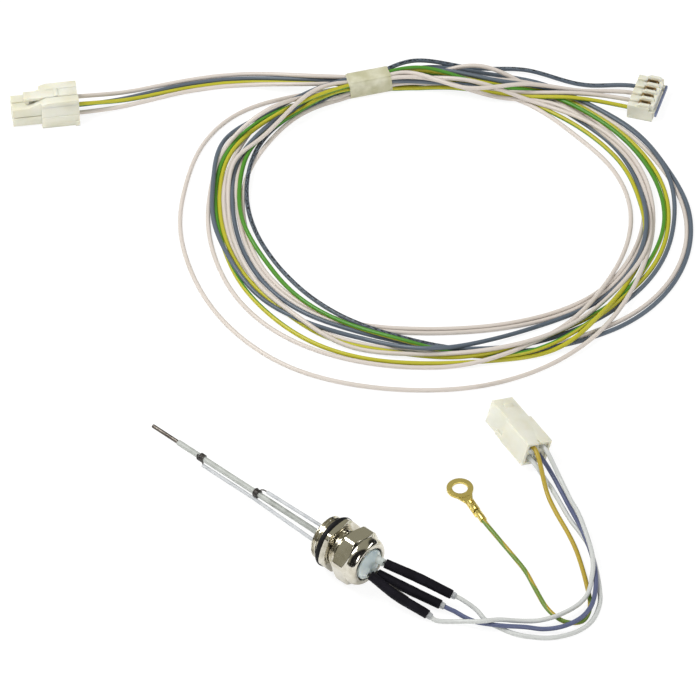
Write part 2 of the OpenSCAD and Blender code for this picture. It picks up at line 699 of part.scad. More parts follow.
// One contact of the socket: a slotted barrel in its cavity with a tail back to its lead
module socket_contacts() {
    color("lightgoldenrodyellow") in_socket_frame() at_contacts() {
        difference() {
            translate([2, 0, 0]) along_x() cylinder(d = mouth_w - 0.3, h = socket_nose_len + 1 - 0.02);
            translate([1, 0, 0]) along_x() cylinder(d = 2.2, h = socket_nose_len - 2);
        }
        translate([socket_nose_len + 2.5, 0, 0]) along_x()
            cylinder(d = 1.3, h = socket_len - cavity_deep - socket_nose_len - 2.5);
    }
}

// ---- harness plug ----

latch_w = 4;
latch_t = 1.3;
latch_pivot_x = plug_nose_len + 6;
latch_front_x = plug_nose_len - 6;
latch_back_x = plug_len - 1;
latch_z = plug_h / 2 + 1.2 + running_gap;
latch_pin_d = 1.2;
latch_slot_w = latch_w + 1.2;

module plug_housing() {
    color("ivory") in_plug_frame() difference() {
        union() {
            block(plug_nose_len, plug_len, plug_w, plug_h);
            at_contacts() block(0, plug_nose_len + 1, tower_w, tower_w);
            // Web that ties the four towers to each other near their root
            block(plug_nose_len - 4, plug_nose_len + 1, 2 * half_pitch, 2 * half_pitch);
            // Ears that carry the latch's pin
            for (side = [-1, 1]) translate([latch_pivot_x - 1.3, side * (latch_slot_w / 2 + 0.6) - 0.6, 0])
                cube([2.6, 1.2, latch_z + 1.2]);
        }
        at_contacts() {
            translate([-1, 0, 0]) along_x() cylinder(d = 2.6, h = plug_nose_len + 2);
            translate([plug_len - cavity_deep, 0, 0]) along_x() cylinder(d = cavity_d, h = cavity_deep + 1);
            translate([plug_nose_len, 0, 0]) along_x() cylinder(d = 1.4, h = plug_len);
        }
        translate([latch_pivot_x, 0, latch_z]) rotate([90, 0, 0])
            cylinder(d = latch_pin_d + 2 * held_gap, h = plug_w, center = true);
    }
}

module plug_latch() {
    color("ivory") in_plug_frame() difference() {
        union() {
            translate([latch_front_x, -latch_w / 2, latch_z - latch_t / 2 + 0.1])
                cube([latch_back_x - latch_front_x, latch_w, latch_t]);
            // Hook at the front of the lever
            translate([latch_front_x, latch_w / 2, latch_z - latch_t / 2 - 1.1]) rotate([90, 0, 0])
                linear_extrude(latch_w) polygon([[0, 1.3], [0, 0.8], [1, 0], [1.8, 0], [1.8, 1.3]]);
            translate([latch_pivot_x, 0, latch_z]) rotate([90, 0, 0])
                cylinder(d = 2.4, h = latch_w, center = true);
        }
        translate([latch_pivot_x, 0, latch_z]) rotate([90, 0, 0])
            cylinder(d = latch_pin_d + 0.16, h = latch_w + 2, center = true);
    }
}

module plug_latch_pin() {
    color("silver") in_plug_frame() translate([latch_pivot_x, 0, latch_z]) rotate([90, 0, 0])
        cylinder(d = latch_pin_d, h = latch_slot_w + 2.4, center = true);
}

module plug_contacts() {
    color("lightgoldenrodyellow") in_plug_frame() at_contacts() {
        difference() {
            translate([1, 0, 0]) along_x() cylinder(d = 2.5, h = plug_nose_len - 0.02);
            along_x() cylinder(d = 1.7, h = plug_nose_len - 2);
        }
        translate([plug_nose_len + 0.9, 0, 0]) along_x()
            cylinder(d = 1.3, h = plug_len - cavity_deep - plug_nose_len - 0.9);
    }
}

// ---- board connector ----

board_slot_w = 1.8;

module board_housing() {
    color("ivory") in_board_frame() difference() {
        union() {
            block(-board_len / 2, board_len / 2, board_depth, board_h);
            // Walls between the contact slots, standing proud as a comb
            for (k = [0 : 4]) translate([board_slot_x(k) - board_pitch / 2 - 0.6, -board_depth / 2 + 0.6, 0])
                cube([1.2, board_depth - 3, board_h / 2 + 1.1]);
            // Posts that carry the key rail
            for (side = [-1, 1]) translate([side * (board_len / 2 - 1.6), -board_depth / 2 - 0.8, 0])
                translate([-0.8, 0, -board_h / 2 + 2]) cube([1.6, 1, 2]);
        }
        for (k = [0 : 3]) translate([board_slot_x(k), 0, 0]) {
            translate([-board_slot_w / 2, -board_depth / 2 + 1.2, -board_h / 2 + 1.6])
                cube([board_slot_w, board_depth - 4.6, board_h]);
            translate([0, board_depth / 2 - 4, board_lead_z]) rotate([-90, 0, 0])
                cylinder(d = lead_d + 2 * running_gap, h = 6);
        }
    }
}

module board_contacts() {
    color("tan") in_board_frame() for (k = [0 : 3]) translate([board_slot_x(k), 0, 0])
        difference() {
            translate([-board_slot_w / 2 + 0.1, -board_depth / 2 + 1.4, -board_h / 2 + 1.6])
                cube([board_slot_w - 0.2, board_depth - 5, board_h - 2.6]);
            translate([-0.4, -board_depth / 2 + 1, -board_h / 2 + 2.1])
                cube([0.8, board_depth - 5, board_h]);
        }
}

module board_key() {
    color("slategray") in_board_frame()
        translate([-board_len / 2 + 0.5, -board_depth / 2 - 1.9, -board_h / 2 + 2.1])
            cube([board_len - 1, 1.1, 1.8]);
}

// ---- harness coil and tape ----

module tape_band() {
    color("#e6e8c4") in_tape_frame() difference() {
        rounded_bar(tape_len, tape_w, 1.6);
        translate([-1, 0, 0]) rounded_bar(tape_len + 4, tape_w - 2 * tape_t, 1.2);
    }
}

// A bar along x, centred, square in section with rounded edges
module rounded_bar(length, w, r) {
    translate([-length / 2, 0, 0]) rotate([90, 0, 90]) linear_extrude(length) union() {
        square([w, w - 2 * r], center = true);
        square([w - 2 * r, w], center = true);
        for (x = [-1, 1], y = [-1, 1]) translate([x * (w / 2 - r), y * (w / 2 - r)]) circle(r = r);
    }
}

module harness_coil() {
    inner = coil_r - coil_band / 2;
    outer = coil_r + coil_band / 2;
    color("darkkhaki") translate([coil_at[0], coil_at[1], rest_z]) rotate_extrude($fn = 96) polygon([
        [inner, 0], [outer, 0], [outer, coil_h / 2], [outer - coil_h / 2, coil_h],
        [inner + coil_h / 2, coil_h], [inner, coil_h / 2]
    ]);
}

module left_tail(route, side, up, slot) { lead(concat(plug_end(side, up), route, tape_end(-1, slot))); }
module right_tail(route, k, slot) { lead(concat(tape_end(1, slot), route, board_end(k))); }

gland_body();
o_ring();
potting_plug();
sealing_insert();
slip_ring();
dome_nut();
long_electrode();
middle_electrode();
short_electrode();
long_sleeve();
middle_sleeve();
short_sleeve();
clear_sleeve(middle_front, shrink_a);  // clear_sleeve_a
clear_sleeve(long_front, shrink_b);  // clear_sleeve_b
clear_sleeve(short_front, shrink_c);  // clear_sleeve_c
shrink_sleeve(shrink_a);  // shrink_sleeve_a
shrink_sleeve(shrink_b);  // shrink_sleeve_b
shrink_sleeve(shrink_c);  // shrink_sleeve_c
splice(shrink_a, wire_d);  // splice_a
splice(shrink_b, long_d);  // splice_b
splice(shrink_c, wire_d);  // splice_c
lead_ferrule(shrink_a);  // lead_ferrule_a
lead_ferrule(shrink_b);  // lead_ferrule_b
lead_ferrule(shrink_c);  // lead_ferrule_c
color("seashell") lead(lead_a_path);  // lead_white_a
color("slategray") lead(lead_b_path);  // lead_grey
color("seashell") lead(lead_c_path);  // lead_white_b
color("olivedrab") lead(earth_path);  // earth_lead
ring_terminal();
socket_housing();
socket_contacts();
plug_housing();
plug_latch();
plug_latch_pin();
plug_contacts();
board_housing();
board_contacts();
board_key();
tape_band();
harness_coil();
color("seashell") left_tail(left_white_a_route, 1, 1, 3);  // left_tail_white_a
color("slategray") left_tail(left_grey_route, 1, -1, 2);  // left_tail_grey
color("seashell") left_tail(left_white_b_route, -1, -1, 0);  // left_tail_white_b
color("olivedrab") left_tail(left_earth_route, -1, 1, 1);  // left_tail_earth
color("seashell") right_tail(right_white_a_route, 2, 2);  // right_tail_white_a
color("slategray") right_tail(right_grey_route, 3, 3);  // right_tail_grey
color("seashell") right_tail(right_white_b_route, 1, 1);  // right_tail_white_b
color("olivedrab") right_tail(right_earth_route, 0, 0);  // right_tail_earth
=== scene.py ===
"""Looks of a flame sensing probe: its screwed gland, its pigtail and its taped extension harness.

Sizes are in millimetres in the part's own frame: the gland's seat plane is x = 0, its axis is X,
the probe's tip points to -X and the loose cables lie on a surface at z = -10.
"""
import sys
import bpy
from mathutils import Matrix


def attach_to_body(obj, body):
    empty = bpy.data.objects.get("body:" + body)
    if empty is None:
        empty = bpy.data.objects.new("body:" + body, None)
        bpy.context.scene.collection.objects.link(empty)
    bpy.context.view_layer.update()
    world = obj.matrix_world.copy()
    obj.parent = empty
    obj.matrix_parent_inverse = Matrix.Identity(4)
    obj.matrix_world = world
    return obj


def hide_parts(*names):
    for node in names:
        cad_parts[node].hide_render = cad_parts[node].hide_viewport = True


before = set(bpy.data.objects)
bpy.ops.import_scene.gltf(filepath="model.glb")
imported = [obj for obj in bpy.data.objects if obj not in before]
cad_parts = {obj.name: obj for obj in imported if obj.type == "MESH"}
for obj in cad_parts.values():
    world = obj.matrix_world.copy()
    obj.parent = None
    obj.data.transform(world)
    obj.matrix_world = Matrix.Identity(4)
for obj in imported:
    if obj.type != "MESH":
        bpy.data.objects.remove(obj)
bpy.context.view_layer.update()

import logging
import math
from collections import defaultdict
from dataclasses import dataclass, field
from enum import Enum
from typing import Any, Callable, Dict, List, Optional, Sequence, Tuple, Union

import bmesh
import bpy
import numpy as np
from bpy.types import Material, Mesh, NodeSocket, Object, World

log = logging.getLogger("flame_probe")
MM = 0.001
SURFACE_Z = -10.0
LEAD_D = 1.6
LEAD_REST = SURFACE_Z + LEAD_D / 2
Array = np.ndarray
Colour = Tuple[float, float, float]
Pair = Tuple[float, float]
Place = Tuple[float, float, float]
Points = Sequence[Sequence[float]]
Radius = Union[float, Array]
WHITE: Colour = (1.0, 1.0, 1.0)


# ---- small geometry helpers ----


def srgb(code: str) -> Colour:
    """A screen colour's six hexadecimal digits as linear red, green and blue."""
    shares = [int(code[k:k + 2], 16) / 255 for k in (0, 2, 4)]
    return tuple(c / 12.92 if c <= 0.04045 else ((c + 0.055) / 1.055) ** 2.4 for c in shares)


def unit(v: Array) -> Array:
    """The vector at length one."""
    return v / np.linalg.norm(v)


def turned(v: Sequence[float], degrees: float) -> Array:
    """A vector turned about Z by some degrees."""
    a = math.radians(degrees)
    x, y, z = v
    return np.array([x * math.cos(a) - y * math.sin(a), x * math.sin(a) + y * math.cos(a), z])


def rolled(v: Sequence[float], degrees: float) -> Array:
    """A vector turned about X by some degrees."""
    a = math.radians(degrees)
    x, y, z = v
    return np.array([x, y * math.cos(a) - z * math.sin(a), y * math.sin(a) + z * math.cos(a)])


def even(path: Points, step: float) -> Array:
    """Spaces a path's points evenly.

    Args:
        path: Points along the path.
        step: Distance wanted between points.

    Returns:
        The same path with its points one step apart.
    """
    path = np.asarray(path, float)
    run = np.r_[0, np.cumsum(np.linalg.norm(np.diff(path, axis=0), axis=1))]
    count = max(2, int(round(run[-1] / step)) + 1)
    at = np.linspace(0, run[-1], count)
    return np.stack([np.interp(at, run, path[:, k]) for k in range(path.shape[1])], 1)


def run_length(path: Array) -> float:
    """The length of a path."""
    return np.linalg.norm(np.diff(path, axis=0), axis=1).sum()


def smoothed(values: Array, reach: int) -> Array:
    """A running mean over some values on each side."""
    width = 2 * reach + 1
    return np.convolve(np.pad(values, reach, mode="edge"), np.ones(width) / width, mode="valid")


def between(p: Array, q: Array, t: Array, start: float, end: float) -> Array:
    """Places on the way from p to q, which are reached when t is start and end."""
    return (end - t) / (end - start) * p + (t - start) / (end - start) * q


def curve(points: Points, step: float, lowest: Optional[float] = None) -> Array:
    """Draws one smooth curve through points.

    Args:
        points: Places that the curve passes through.
        step: Distance between the points that come back.
        lowest: Height that the curve never dips below.

    Returns:
        Evenly spaced points of the curve.
    """
    p = np.asarray(points, float)
    q = np.vstack([p[0], p, p[-1]])
    t = np.linspace(0, 1, 16, endpoint=False)[:, None]
    out = [0.5 * (2 * b + (c - a) * t + (2 * a - 5 * b + 4 * c - d) * t ** 2
                  + (3 * b - a - 3 * c + d) * t ** 3)
           for a, b, c, d in zip(q[:-3], q[1:-2], q[2:-1], q[3:])]
    line = np.vstack(out + [p[-1:]])
    if lowest is not None:
        line[:, 2] = np.maximum(line[:, 2], lowest)
    return even(line, step)


def sweep_axes(path: Array) -> Tuple[Array, Array]:
    """Finds two cross axes that follow a path without twisting.

    Args:
        path: Points along the path.

    Returns:
        Two arrays of unit vectors, both square to the path at each point.
    """
    along = np.gradient(path, axis=0)
    along /= np.linalg.norm(along, axis=1)[:, None]
    side = np.cross([0, 0, 1.0], along[0])
    side = np.array([0, 1.0, 0]) if np.linalg.norm(side) < 1e-3 else unit(side)
    first = np.zeros_like(path)
    for i, t in enumerate(along):
        side = unit(side - t * (side @ t))
        first[i] = side
    return first, np.cross(along, first)


def tube_rows(path: Array, radius: Radius, sides: int = 12) -> Array:
    """Makes the rings of a round tube.

    Args:
        path: Centreline of the tube.
        radius: Radius, the same or one for each point.
        sides: Points in each ring.

    Returns:
        An array of rings, by point and by place around.
    """
    first, second = sweep_axes(path)
    a = (np.arange(sides) * 2 * math.pi / sides)[None, :, None]
    r = np.broadcast_to(np.asarray(radius, float), (len(path),))[:, None, None]
    return path[:, None] + r * (np.cos(a) * first[:, None] + np.sin(a) * second[:, None])


class Shape:
    """A mesh that is being made, in millimetres."""

    def __init__(self) -> None:
        """Starts with no points and no faces."""
        self.points: List[Sequence[float]] = []
        self.faces: List[Tuple[int, ...]] = []

    def grid(self, rows: Sequence[Points], ring: bool = True, loop: bool = False,
             caps: bool = False) -> "Shape":
        """Adds a net of four-sided faces.

        Args:
            rows: Points by row and by column.
            ring: Whether each row closes on itself.
            loop: Whether the last row joins the first.
            caps: Whether the first and the last row are each closed by a face.

        Returns:
            This shape.
        """
        rows = np.asarray(rows, float)
        n, m = rows.shape[:2]
        base = len(self.points)
        self.points += rows.reshape(-1, 3).tolist()
        for i in range(n if loop else n - 1):
            for j in range(m if ring else m - 1):
                here, after = base + i * m, base + (i + 1) % n * m
                k = (j + 1) % m
                self.faces.append((here + j, here + k, after + k, after + j))
        if caps:
            self.faces.append(tuple(base + j for j in reversed(range(m))))
            self.faces.append(tuple(base + (n - 1) * m + j for j in range(m)))
        return self

    def tube(self, path: Array, radius: Radius, sides: int = 12) -> "Shape":
        """Adds a round bar with closed ends."""
        return self.grid(tube_rows(path, radius, sides), caps=True)

    def pipe(self, path: Array, outer: Radius, inner: float, sides: int) -> "Shape":
        """Adds a hollow tube with square, softened ends.

        Args:
            path: Centreline of the tube.
            outer: Outer radius, the same or one for each point.
            inner: Radius of the hole.
            sides: Points around the tube.

        Returns:
            This shape.
        """
        full = np.broadcast_to(np.asarray(outer, float), (len(path),))
        soft = min(0.12, (full[0] - inner) * 0.4)
        shell, hole = tube_rows(path, full, sides), tube_rows(path, inner, sides)
        trimmed = full.copy()
        trimmed[[0, -1]] -= soft
        ends = tube_rows(path, trimmed, sides)
        first = shell[:1] + unit(path[1] - path[0]) * soft
        last = shell[-1:] - unit(path[-1] - path[-2]) * soft
        rows = np.concatenate([ends[:1], first, shell[1:-1], last, ends[-1:], hole[::-1]])
        return self.grid(rows, loop=True)

    def moved(self, place: "Pose") -> "Shape":
        """The same shape put where a pose says."""
        self.points = [place.at(p).tolist() for p in self.points]
        return self


@dataclass(frozen=True)
class Pose:
    """Where a piece's own frame lies: an origin, a heading about Z and a roll about its X."""

    origin: Place
    heading: float = 0.0
    roll: float = 0.0

    def at(self, v: Sequence[float]) -> Array:
        """A point of the piece's own frame, in the part's frame."""
        return turned(rolled(v, -self.roll), self.heading) + np.array(self.origin)


# ---- shader sums ----


class Signal:
    """A shader socket that takes part in Python sums."""

    def __init__(self, paint: "Paint", socket: NodeSocket) -> None:
        """Keeps the paint that the socket belongs to."""
        self.paint = paint
        self.socket = socket

    def _sum(self, operation: str, other: Any, swapped: bool = False) -> "Signal":
        """One Math node of this signal and another value."""
        pair = (other, self) if swapped else (self, other)
        return self.paint.node("ShaderNodeMath", {"operation": operation}, dict(enumerate(pair)))

    def __add__(self, other: Any) -> "Signal":
        """Sum."""
        return self._sum("ADD", other)

    __radd__ = __add__

    def __sub__(self, other: Any) -> "Signal":
        """Difference."""
        return self._sum("SUBTRACT", other)

    def __rsub__(self, other: Any) -> "Signal":
        """Difference the other way."""
        return self._sum("SUBTRACT", other, swapped=True)

    def __mul__(self, other: Any) -> "Signal":
        """Product."""
        return self._sum("MULTIPLY", other)

    __rmul__ = __mul__

    def step(self, low: float, high: float) -> "Signal":
        """Rises smoothly from 0 at low to 1 at high."""
        return self.paint.node(
            "ShaderNodeMapRange", {"interpolation_type": "SMOOTHSTEP"},
            {"Value": self, "From Min": low, "From Max": high, "To Min": 0.0, "To Max": 1.0})


class Paint:
    """A material, or the surround, whose nodes are made from Python."""

    def __init__(self, owner: Union[Material, World]) -> None:
        """Starts with no nodes."""
        self.owner = owner
        owner.use_nodes = True
        self.tree = owner.node_tree
        self.tree.nodes.clear()

    @classmethod
    def new(cls, name: str) -> "Paint":
        """An empty node material."""
        return cls(bpy.data.materials.new(name))

    def node(self, kind: str, settings: Optional[Dict[str, Any]] = None,
             inputs: Optional[Dict[Union[str, int], Any]] = None, output: Union[str, int] = 0) -> Signal:
        """Adds one node.

        Args:
            kind: The node's type.
            settings: Its own settings, with "stops" for a ramp's.
            inputs: Values or signals for its sockets, by name or number.
            output: The socket that the signal comes from.

        Returns:
            The signal of that output.
        """
        made = self.tree.nodes.new(kind)
        for key, value in (settings or {}).items():
            if key == "stops":
                ramp = made.color_ramp
                while len(ramp.elements) < len(value):
                    ramp.elements.new(0.5)
                for element, (place, colour) in zip(ramp.elements, value):
                    element.position = place
                    element.color = (*colour, 1.0)
            else:
                setattr(made, key, value)
        for key, value in (inputs or {}).items():
            socket = made.inputs[key]
            if isinstance(value, Signal):
                self.tree.links.new(value.socket, socket)
            elif isinstance(value, tuple) and len(value) == 3 and socket.type == "RGBA":
                socket.default_value = (*value, 1.0)
            else:
                socket.default_value = value
        if not made.outputs:
            return Signal(self, made.inputs[0])
        return Signal(self, made.outputs[output])

    def spot(self, attribute: str) -> Signal:
        """A number stored on the mesh."""
        return self.node("ShaderNodeAttribute", {"attribute_name": attribute}, output="Fac")

    def place(self) -> Signal:
        """The surface point in the piece's own coordinates."""
        return self.node("ShaderNodeTexCoord", output="Object")

    def stretch(self, scale: Place) -> Signal:
        """The surface point with each axis scaled."""
        return self.node("ShaderNodeMapping", None, {"Vector": self.place(), "Scale": scale})

    def noise(self, scale: float, detail: float, where: Optional[Signal] = None,
              rough: float = 0.5) -> Signal:
        """Smooth noise between 0 and 1, with so many grains for each metre and so many octaves."""
        return self.node("ShaderNodeTexNoise", None, {"Vector": where or self.place(), "Scale": scale,
                                                      "Detail": detail, "Roughness": rough})

    def blend(self, amount: Any, first: Any, second: Any) -> Signal:
        """A colour between two colours."""
        return self.node("ShaderNodeMix", {"data_type": "RGBA"}, {0: amount, 6: first, 7: second}, output=2)

    def relief(self, height: Signal, depth: float, strength: float) -> Signal:
        """A bumped normal from heights of about 0 to 1, with the depth of a full step in metres."""
        return self.node("ShaderNodeBump", None, {"Height": height, "Distance": depth, "Strength": strength})

    def either(self, amount: Signal, first: Signal, second: Signal) -> Signal:
        """A shader between two shaders."""
        return self.node("ShaderNodeMixShader", None, {0: amount, 1: first, 2: second})

    def toward(self, direction: Place) -> Signal:
        """How nearly the surround is seen in a direction, 1 straight along it."""
        way = self.node("ShaderNodeTexCoord", output="Generated")
        return self.node("ShaderNodeVectorMath", {"operation": "DOT_PRODUCT"}, {0: way, 1: direction},
                         output="Value")

    def surround(self, colour: Colour, strength: float = 1.0) -> Signal:
        """Even light from all around."""
        return self.node("ShaderNodeBackground", None, {"Color": colour, "Strength": strength})

    def on_lead(self, along: float, around: float) -> Signal:
        """The place on a lead's insulation, by two scales along and around it."""
        return self.node("ShaderNodeCombineXYZ", None,
                         {0: self.spot("along") * along, 1: self.spot("around") * around})

    def surface(self, inputs: Dict[str, Any]) -> Material:
        """Ends the material in one Principled surface."""
        return self.output(self.node("ShaderNodeBsdfPrincipled", None, inputs))

    def output(self, shader: Signal) -> Material:
        """Ends the material in a shader."""
        self.node("ShaderNodeOutputMaterial", None, {"Surface": shader})
        return self.owner

    def rays(self) -> Tuple[Signal, Signal]:
        """Whether a ray comes from the camera or through glass, and whether it comes from a mirror."""
        camera, glass, mirror = (self.node("ShaderNodeLightPath", output=name)
                                 for name in ("Is Camera Ray", "Is Transmission Ray", "Is Glossy Ray"))
        return self.node("ShaderNodeMath", {"operation": "MAXIMUM"}, {0: camera, 1: glass}), mirror


# ---- finishes ----


@dataclass(frozen=True)
class Finish:
    """What every finish has: its slot in the record and its colour."""

    slot: str
    colour: Colour
    label: str = ""

    def material(self) -> Material:
        """The finish's material, made once."""
        name = (self.label or self.slot) + "_finish"
        return bpy.data.materials.get(name) or self.mix(Paint.new(name))

    def mix(self, paint: Paint) -> Material:
        """Makes the material's nodes."""
        raise NotImplementedError


@dataclass(frozen=True)
class Plating(Finish):
    """Bright plated or bare metal with faint wear and handling marks."""

    shade: Colour = (0.5, 0.5, 0.5)
    roughness: float = 0.16
    grain: float = 900.0
    turning: float = 0.25
    metallic: float = 1.0

    def mix(self, paint: Paint) -> Material:
        """Makes the material's nodes."""
        cloud = paint.noise(170, 4)
        fine = paint.noise(self.grain, 5, rough=0.65)
        turning = paint.noise(1.0, 3, paint.stretch((9000, 300, 300)))
        worn = cloud.step(0.42, 0.72)
        colour = paint.blend(worn, self.colour, self.shade)
        rough = fine.step(0.35, 0.75) * 0.12 + worn * 0.08 + self.roughness
        height = fine * 0.5 + turning * self.turning
        return paint.surface({"Base Color": colour, "Metallic": self.metallic, "Roughness": rough,
                              "Normal": paint.relief(height, 0.00002, 0.45)})


@dataclass(frozen=True)
class Moulding(Finish):
    """Milky moulded plastic that light enters, with a fine sparked surface."""

    deep: Colour = (0.6, 0.55, 0.4)
    roughness: float = 0.38
    depth: float = 0.0016
    glow: float = 0.35

    def mix(self, paint: Paint) -> Material:
        """Makes the material's nodes."""
        flow = paint.noise(120, 3)
        fine = paint.noise(2600, 4)
        colour = paint.blend(flow.step(0.3, 0.75), self.colour, self.deep)
        rough = fine * 0.16 + self.roughness
        return paint.surface({"Base Color": colour, "Roughness": rough, "IOR": 1.53,
                              "Subsurface Weight": self.glow, "Subsurface Radius": (1.0, 0.85, 0.6),
                              "Subsurface Scale": self.depth, "Normal": paint.relief(fine, 0.00003, 0.5)})


@dataclass(frozen=True)
class Insulation(Finish):
    """A lead's extruded insulation, plain or with a stripe and a run of printing."""

    stripe: Optional[Colour] = None
    ink: Optional[Colour] = None
    roughness: float = 0.36
    dirt: Colour = (0.4, 0.35, 0.3)

    def mix(self, paint: Paint) -> Material:
        """Makes the material's nodes."""
        flow = paint.noise(60, 3)
        fine = paint.noise(3000, 3)
        draw = paint.noise(9.0, 3, paint.on_lead(0.02, 0.25))
        colour: Any = paint.blend(flow.step(0.45, 0.85) * 0.3, self.colour, self.dirt)
        if self.stripe:
            edge = paint.spot("stripe") + (draw - 0.5) * 0.08
            colour = paint.blend(edge.step(-0.02, 0.06), colour, self.stripe)
        if self.ink:
            ticks = paint.noise(1.0, 2, paint.on_lead(0.8, 1.6))
            mark = ticks.step(0.49, 0.52) * paint.spot("printed").step(0.1, 0.35)
            colour = paint.blend(mark * 0.92, colour, self.ink)
        rough = fine * 0.14 + flow * 0.08 + self.roughness - 0.08
        return paint.surface({"Base Color": colour, "Roughness": rough, "IOR": 1.5,
                              "Normal": paint.relief(draw * 0.7 + fine * 0.3, 0.00003, 0.5)})


@dataclass(frozen=True)
class Sleeve(Finish):
    """Extruded sleeving or shrink tubing with a drawn surface."""

    shade: Colour = (0.2, 0.2, 0.2)
    roughness: float = 0.4
    ripple: float = 0.00005
    grain: float = 260.0
    gloss: float = 0.5

    def mix(self, paint: Paint) -> Material:
        """Makes the material's nodes."""
        wide = paint.noise(self.grain, 3)
        fine = paint.noise(2400, 4)
        colour = paint.blend(wide.step(0.35, 0.75), self.colour, self.shade)
        rough = fine * 0.2 + self.roughness
        return paint.surface({"Base Color": colour, "Roughness": rough, "IOR": 1.4,
                              "Specular IOR Level": self.gloss,
                              "Normal": paint.relief(wide * 0.8 + fine * 0.2, self.ripple, 0.7)})


@dataclass(frozen=True)
class Glassy(Finish):
    """A clear or clouded tube or film that what lies behind it shows through."""

    haze: float = 0.5
    roughness: float = 0.2
    grain: float = 300.0
    ripple: float = 0.00006

    def mix(self, paint: Paint) -> Material:
        """Makes the material's nodes."""
        wide = paint.noise(self.grain, 4)
        fine = paint.noise(1800, 3)
        body = paint.node("ShaderNodeBsdfPrincipled", None, {
            "Base Color": paint.blend(wide.step(0.3, 0.8) * 0.35, self.colour, (0.95, 0.95, 0.93)),
            "Roughness": fine * 0.2 + self.roughness, "IOR": 1.45,
            "Normal": paint.relief(wide, self.ripple, 0.8)})
        tint = tuple(0.55 + 0.45 * c for c in self.colour)
        through = paint.node("ShaderNodeBsdfTransparent", None, {"Color": tint})
        amount = wide.step(0.25, 0.8) * 0.24 + (self.haze - 0.12)
        return paint.output(paint.either(amount, through, body))


class Finishes:
    """Every finish of the part, by what it is on."""

    nickel = Plating("nickel", srgb("dad6ca"), shade=srgb("c3bdac"), roughness=0.09)
    rubber = Sleeve("o_ring_rubber", srgb("0f0f11"), gloss=0.3, shade=srgb("18181b"), roughness=0.45,
                    ripple=0.00003)
    resin = Moulding("resin", srgb("d9d9d2"), deep=srgb("c9c9c0"), roughness=0.3, glow=0.2)
    silicone = Moulding("silicone", srgb("cdd6d5"), deep=srgb("b3c1c2"), roughness=0.26, depth=0.002,
                        glow=0.5)
    slip = Moulding("nylon_white", srgb("ecebe4"), deep=srgb("dddbd0"))
    probe = Plating("probe_steel", srgb("6e6862"), shade=srgb("4a4340"), roughness=0.34, metallic=0.8)
    wire = Plating("thin_wire", srgb("5e5a58"), shade=srgb("3c3a3a"), roughness=0.3, metallic=0.85)
    sleeving = Sleeve("sleeving", srgb("b3b6b1"), shade=srgb("9fa29c"), roughness=0.3, ripple=0.00003)
    thin_sleeving = Sleeve("sleeving", srgb("c2c4c6"), label="sleeving_thin", shade=srgb("b0b3b6"),
                           roughness=0.3, ripple=0.00003)
    clear = Glassy("clear_tube", srgb("d9e0dc"), haze=0.62, roughness=0.12)
    shrink = Sleeve("shrink", srgb("0d0b13"), gloss=0.22, shade=srgb("14121b"), roughness=0.55,
                    ripple=0.00009)
    tinned = Plating("tinned_copper", srgb("cfcac2"), shade=srgb("a8a297"), roughness=0.3)
    ferrule = Glassy("ferrule_grey", srgb("b9bcbe"), haze=0.62, roughness=0.16)
    white = Insulation("lead_white", srgb("cfc6bd"), ink=srgb("4a3a38"), dirt=srgb("bdb0a0"))
    white_cool = Insulation("lead_white", srgb("c7c9c6"), label="lead_white_cool", dirt=srgb("b4b6b3"))
    grey = Insulation("lead_grey", srgb("596470"), ink=srgb("101218"), dirt=srgb("454f5a"))
    grey_blue = Insulation("lead_grey", srgb("596080"), label="lead_grey_blue", dirt=srgb("484e6c"))
    earth = Insulation("lead_earth", srgb("b6b128"), stripe=srgb("4a8a24"), dirt=srgb("8f8b22"))
    earth_warm = Insulation("lead_earth", srgb("ad962c"), stripe=srgb("67832c"), label="lead_earth_warm",
                            dirt=srgb("8f7a26"))
    brass = Plating("terminal_brass", srgb("e3d07a"), metallic=0.8, shade=srgb("c4ae58"), roughness=0.2,
                    turning=0.05)
    ivory = Moulding("ivory_nylon", srgb("dfded1"), deep=srgb("d6d3bd"), roughness=0.33, glow=0.55)
    contact = Plating("contact_metal", srgb("b39a70"), shade=srgb("8f7650"), roughness=0.42, metallic=0.7)
    key = Sleeve("key_plastic", srgb("757f9c"), shade=srgb("656f8c"), roughness=0.35)
    tape = Glassy("tape", srgb("d9d6b4"), haze=0.7, roughness=0.3, grain=160.0, ripple=0.00012)


# ---- making pieces ----


def linked(name: str, data: Any) -> Object:
    """A new object in the scene for a mesh, a lamp or a camera."""
    obj = bpy.data.objects.new(name, data)
    bpy.context.scene.collection.objects.link(obj)
    return obj


def face_outward(mesh: Mesh) -> None:
    """Turns all faces of a mesh outward."""
    net = bmesh.new()
    net.from_mesh(mesh)
    bmesh.ops.recalc_face_normals(net, faces=net.faces)
    net.to_mesh(mesh)
    net.free()


def paint_over(obj: Object, finish: Finish) -> None:
    """Gives an object one finish all over."""
    obj.data.materials.clear()
    obj.data.materials.append(finish.material())


def attach(obj: Object, finish: Finish, body: str, replaces: Sequence[str]) -> Object:
    """Dresses a piece and ties it to the frame.

    Args:
        obj: The piece.
        finish: Its finish.
        body: CAD body that it rides on.
        replaces: CAD nodes that it stands for.

    Returns:
        The piece.
    """
    paint_over(obj, finish)
    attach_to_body(obj, body)
    if replaces:
        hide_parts(*replaces)
    log.info("%s: %d faces on %s", obj.name, len(obj.data.polygons), body)
    return obj


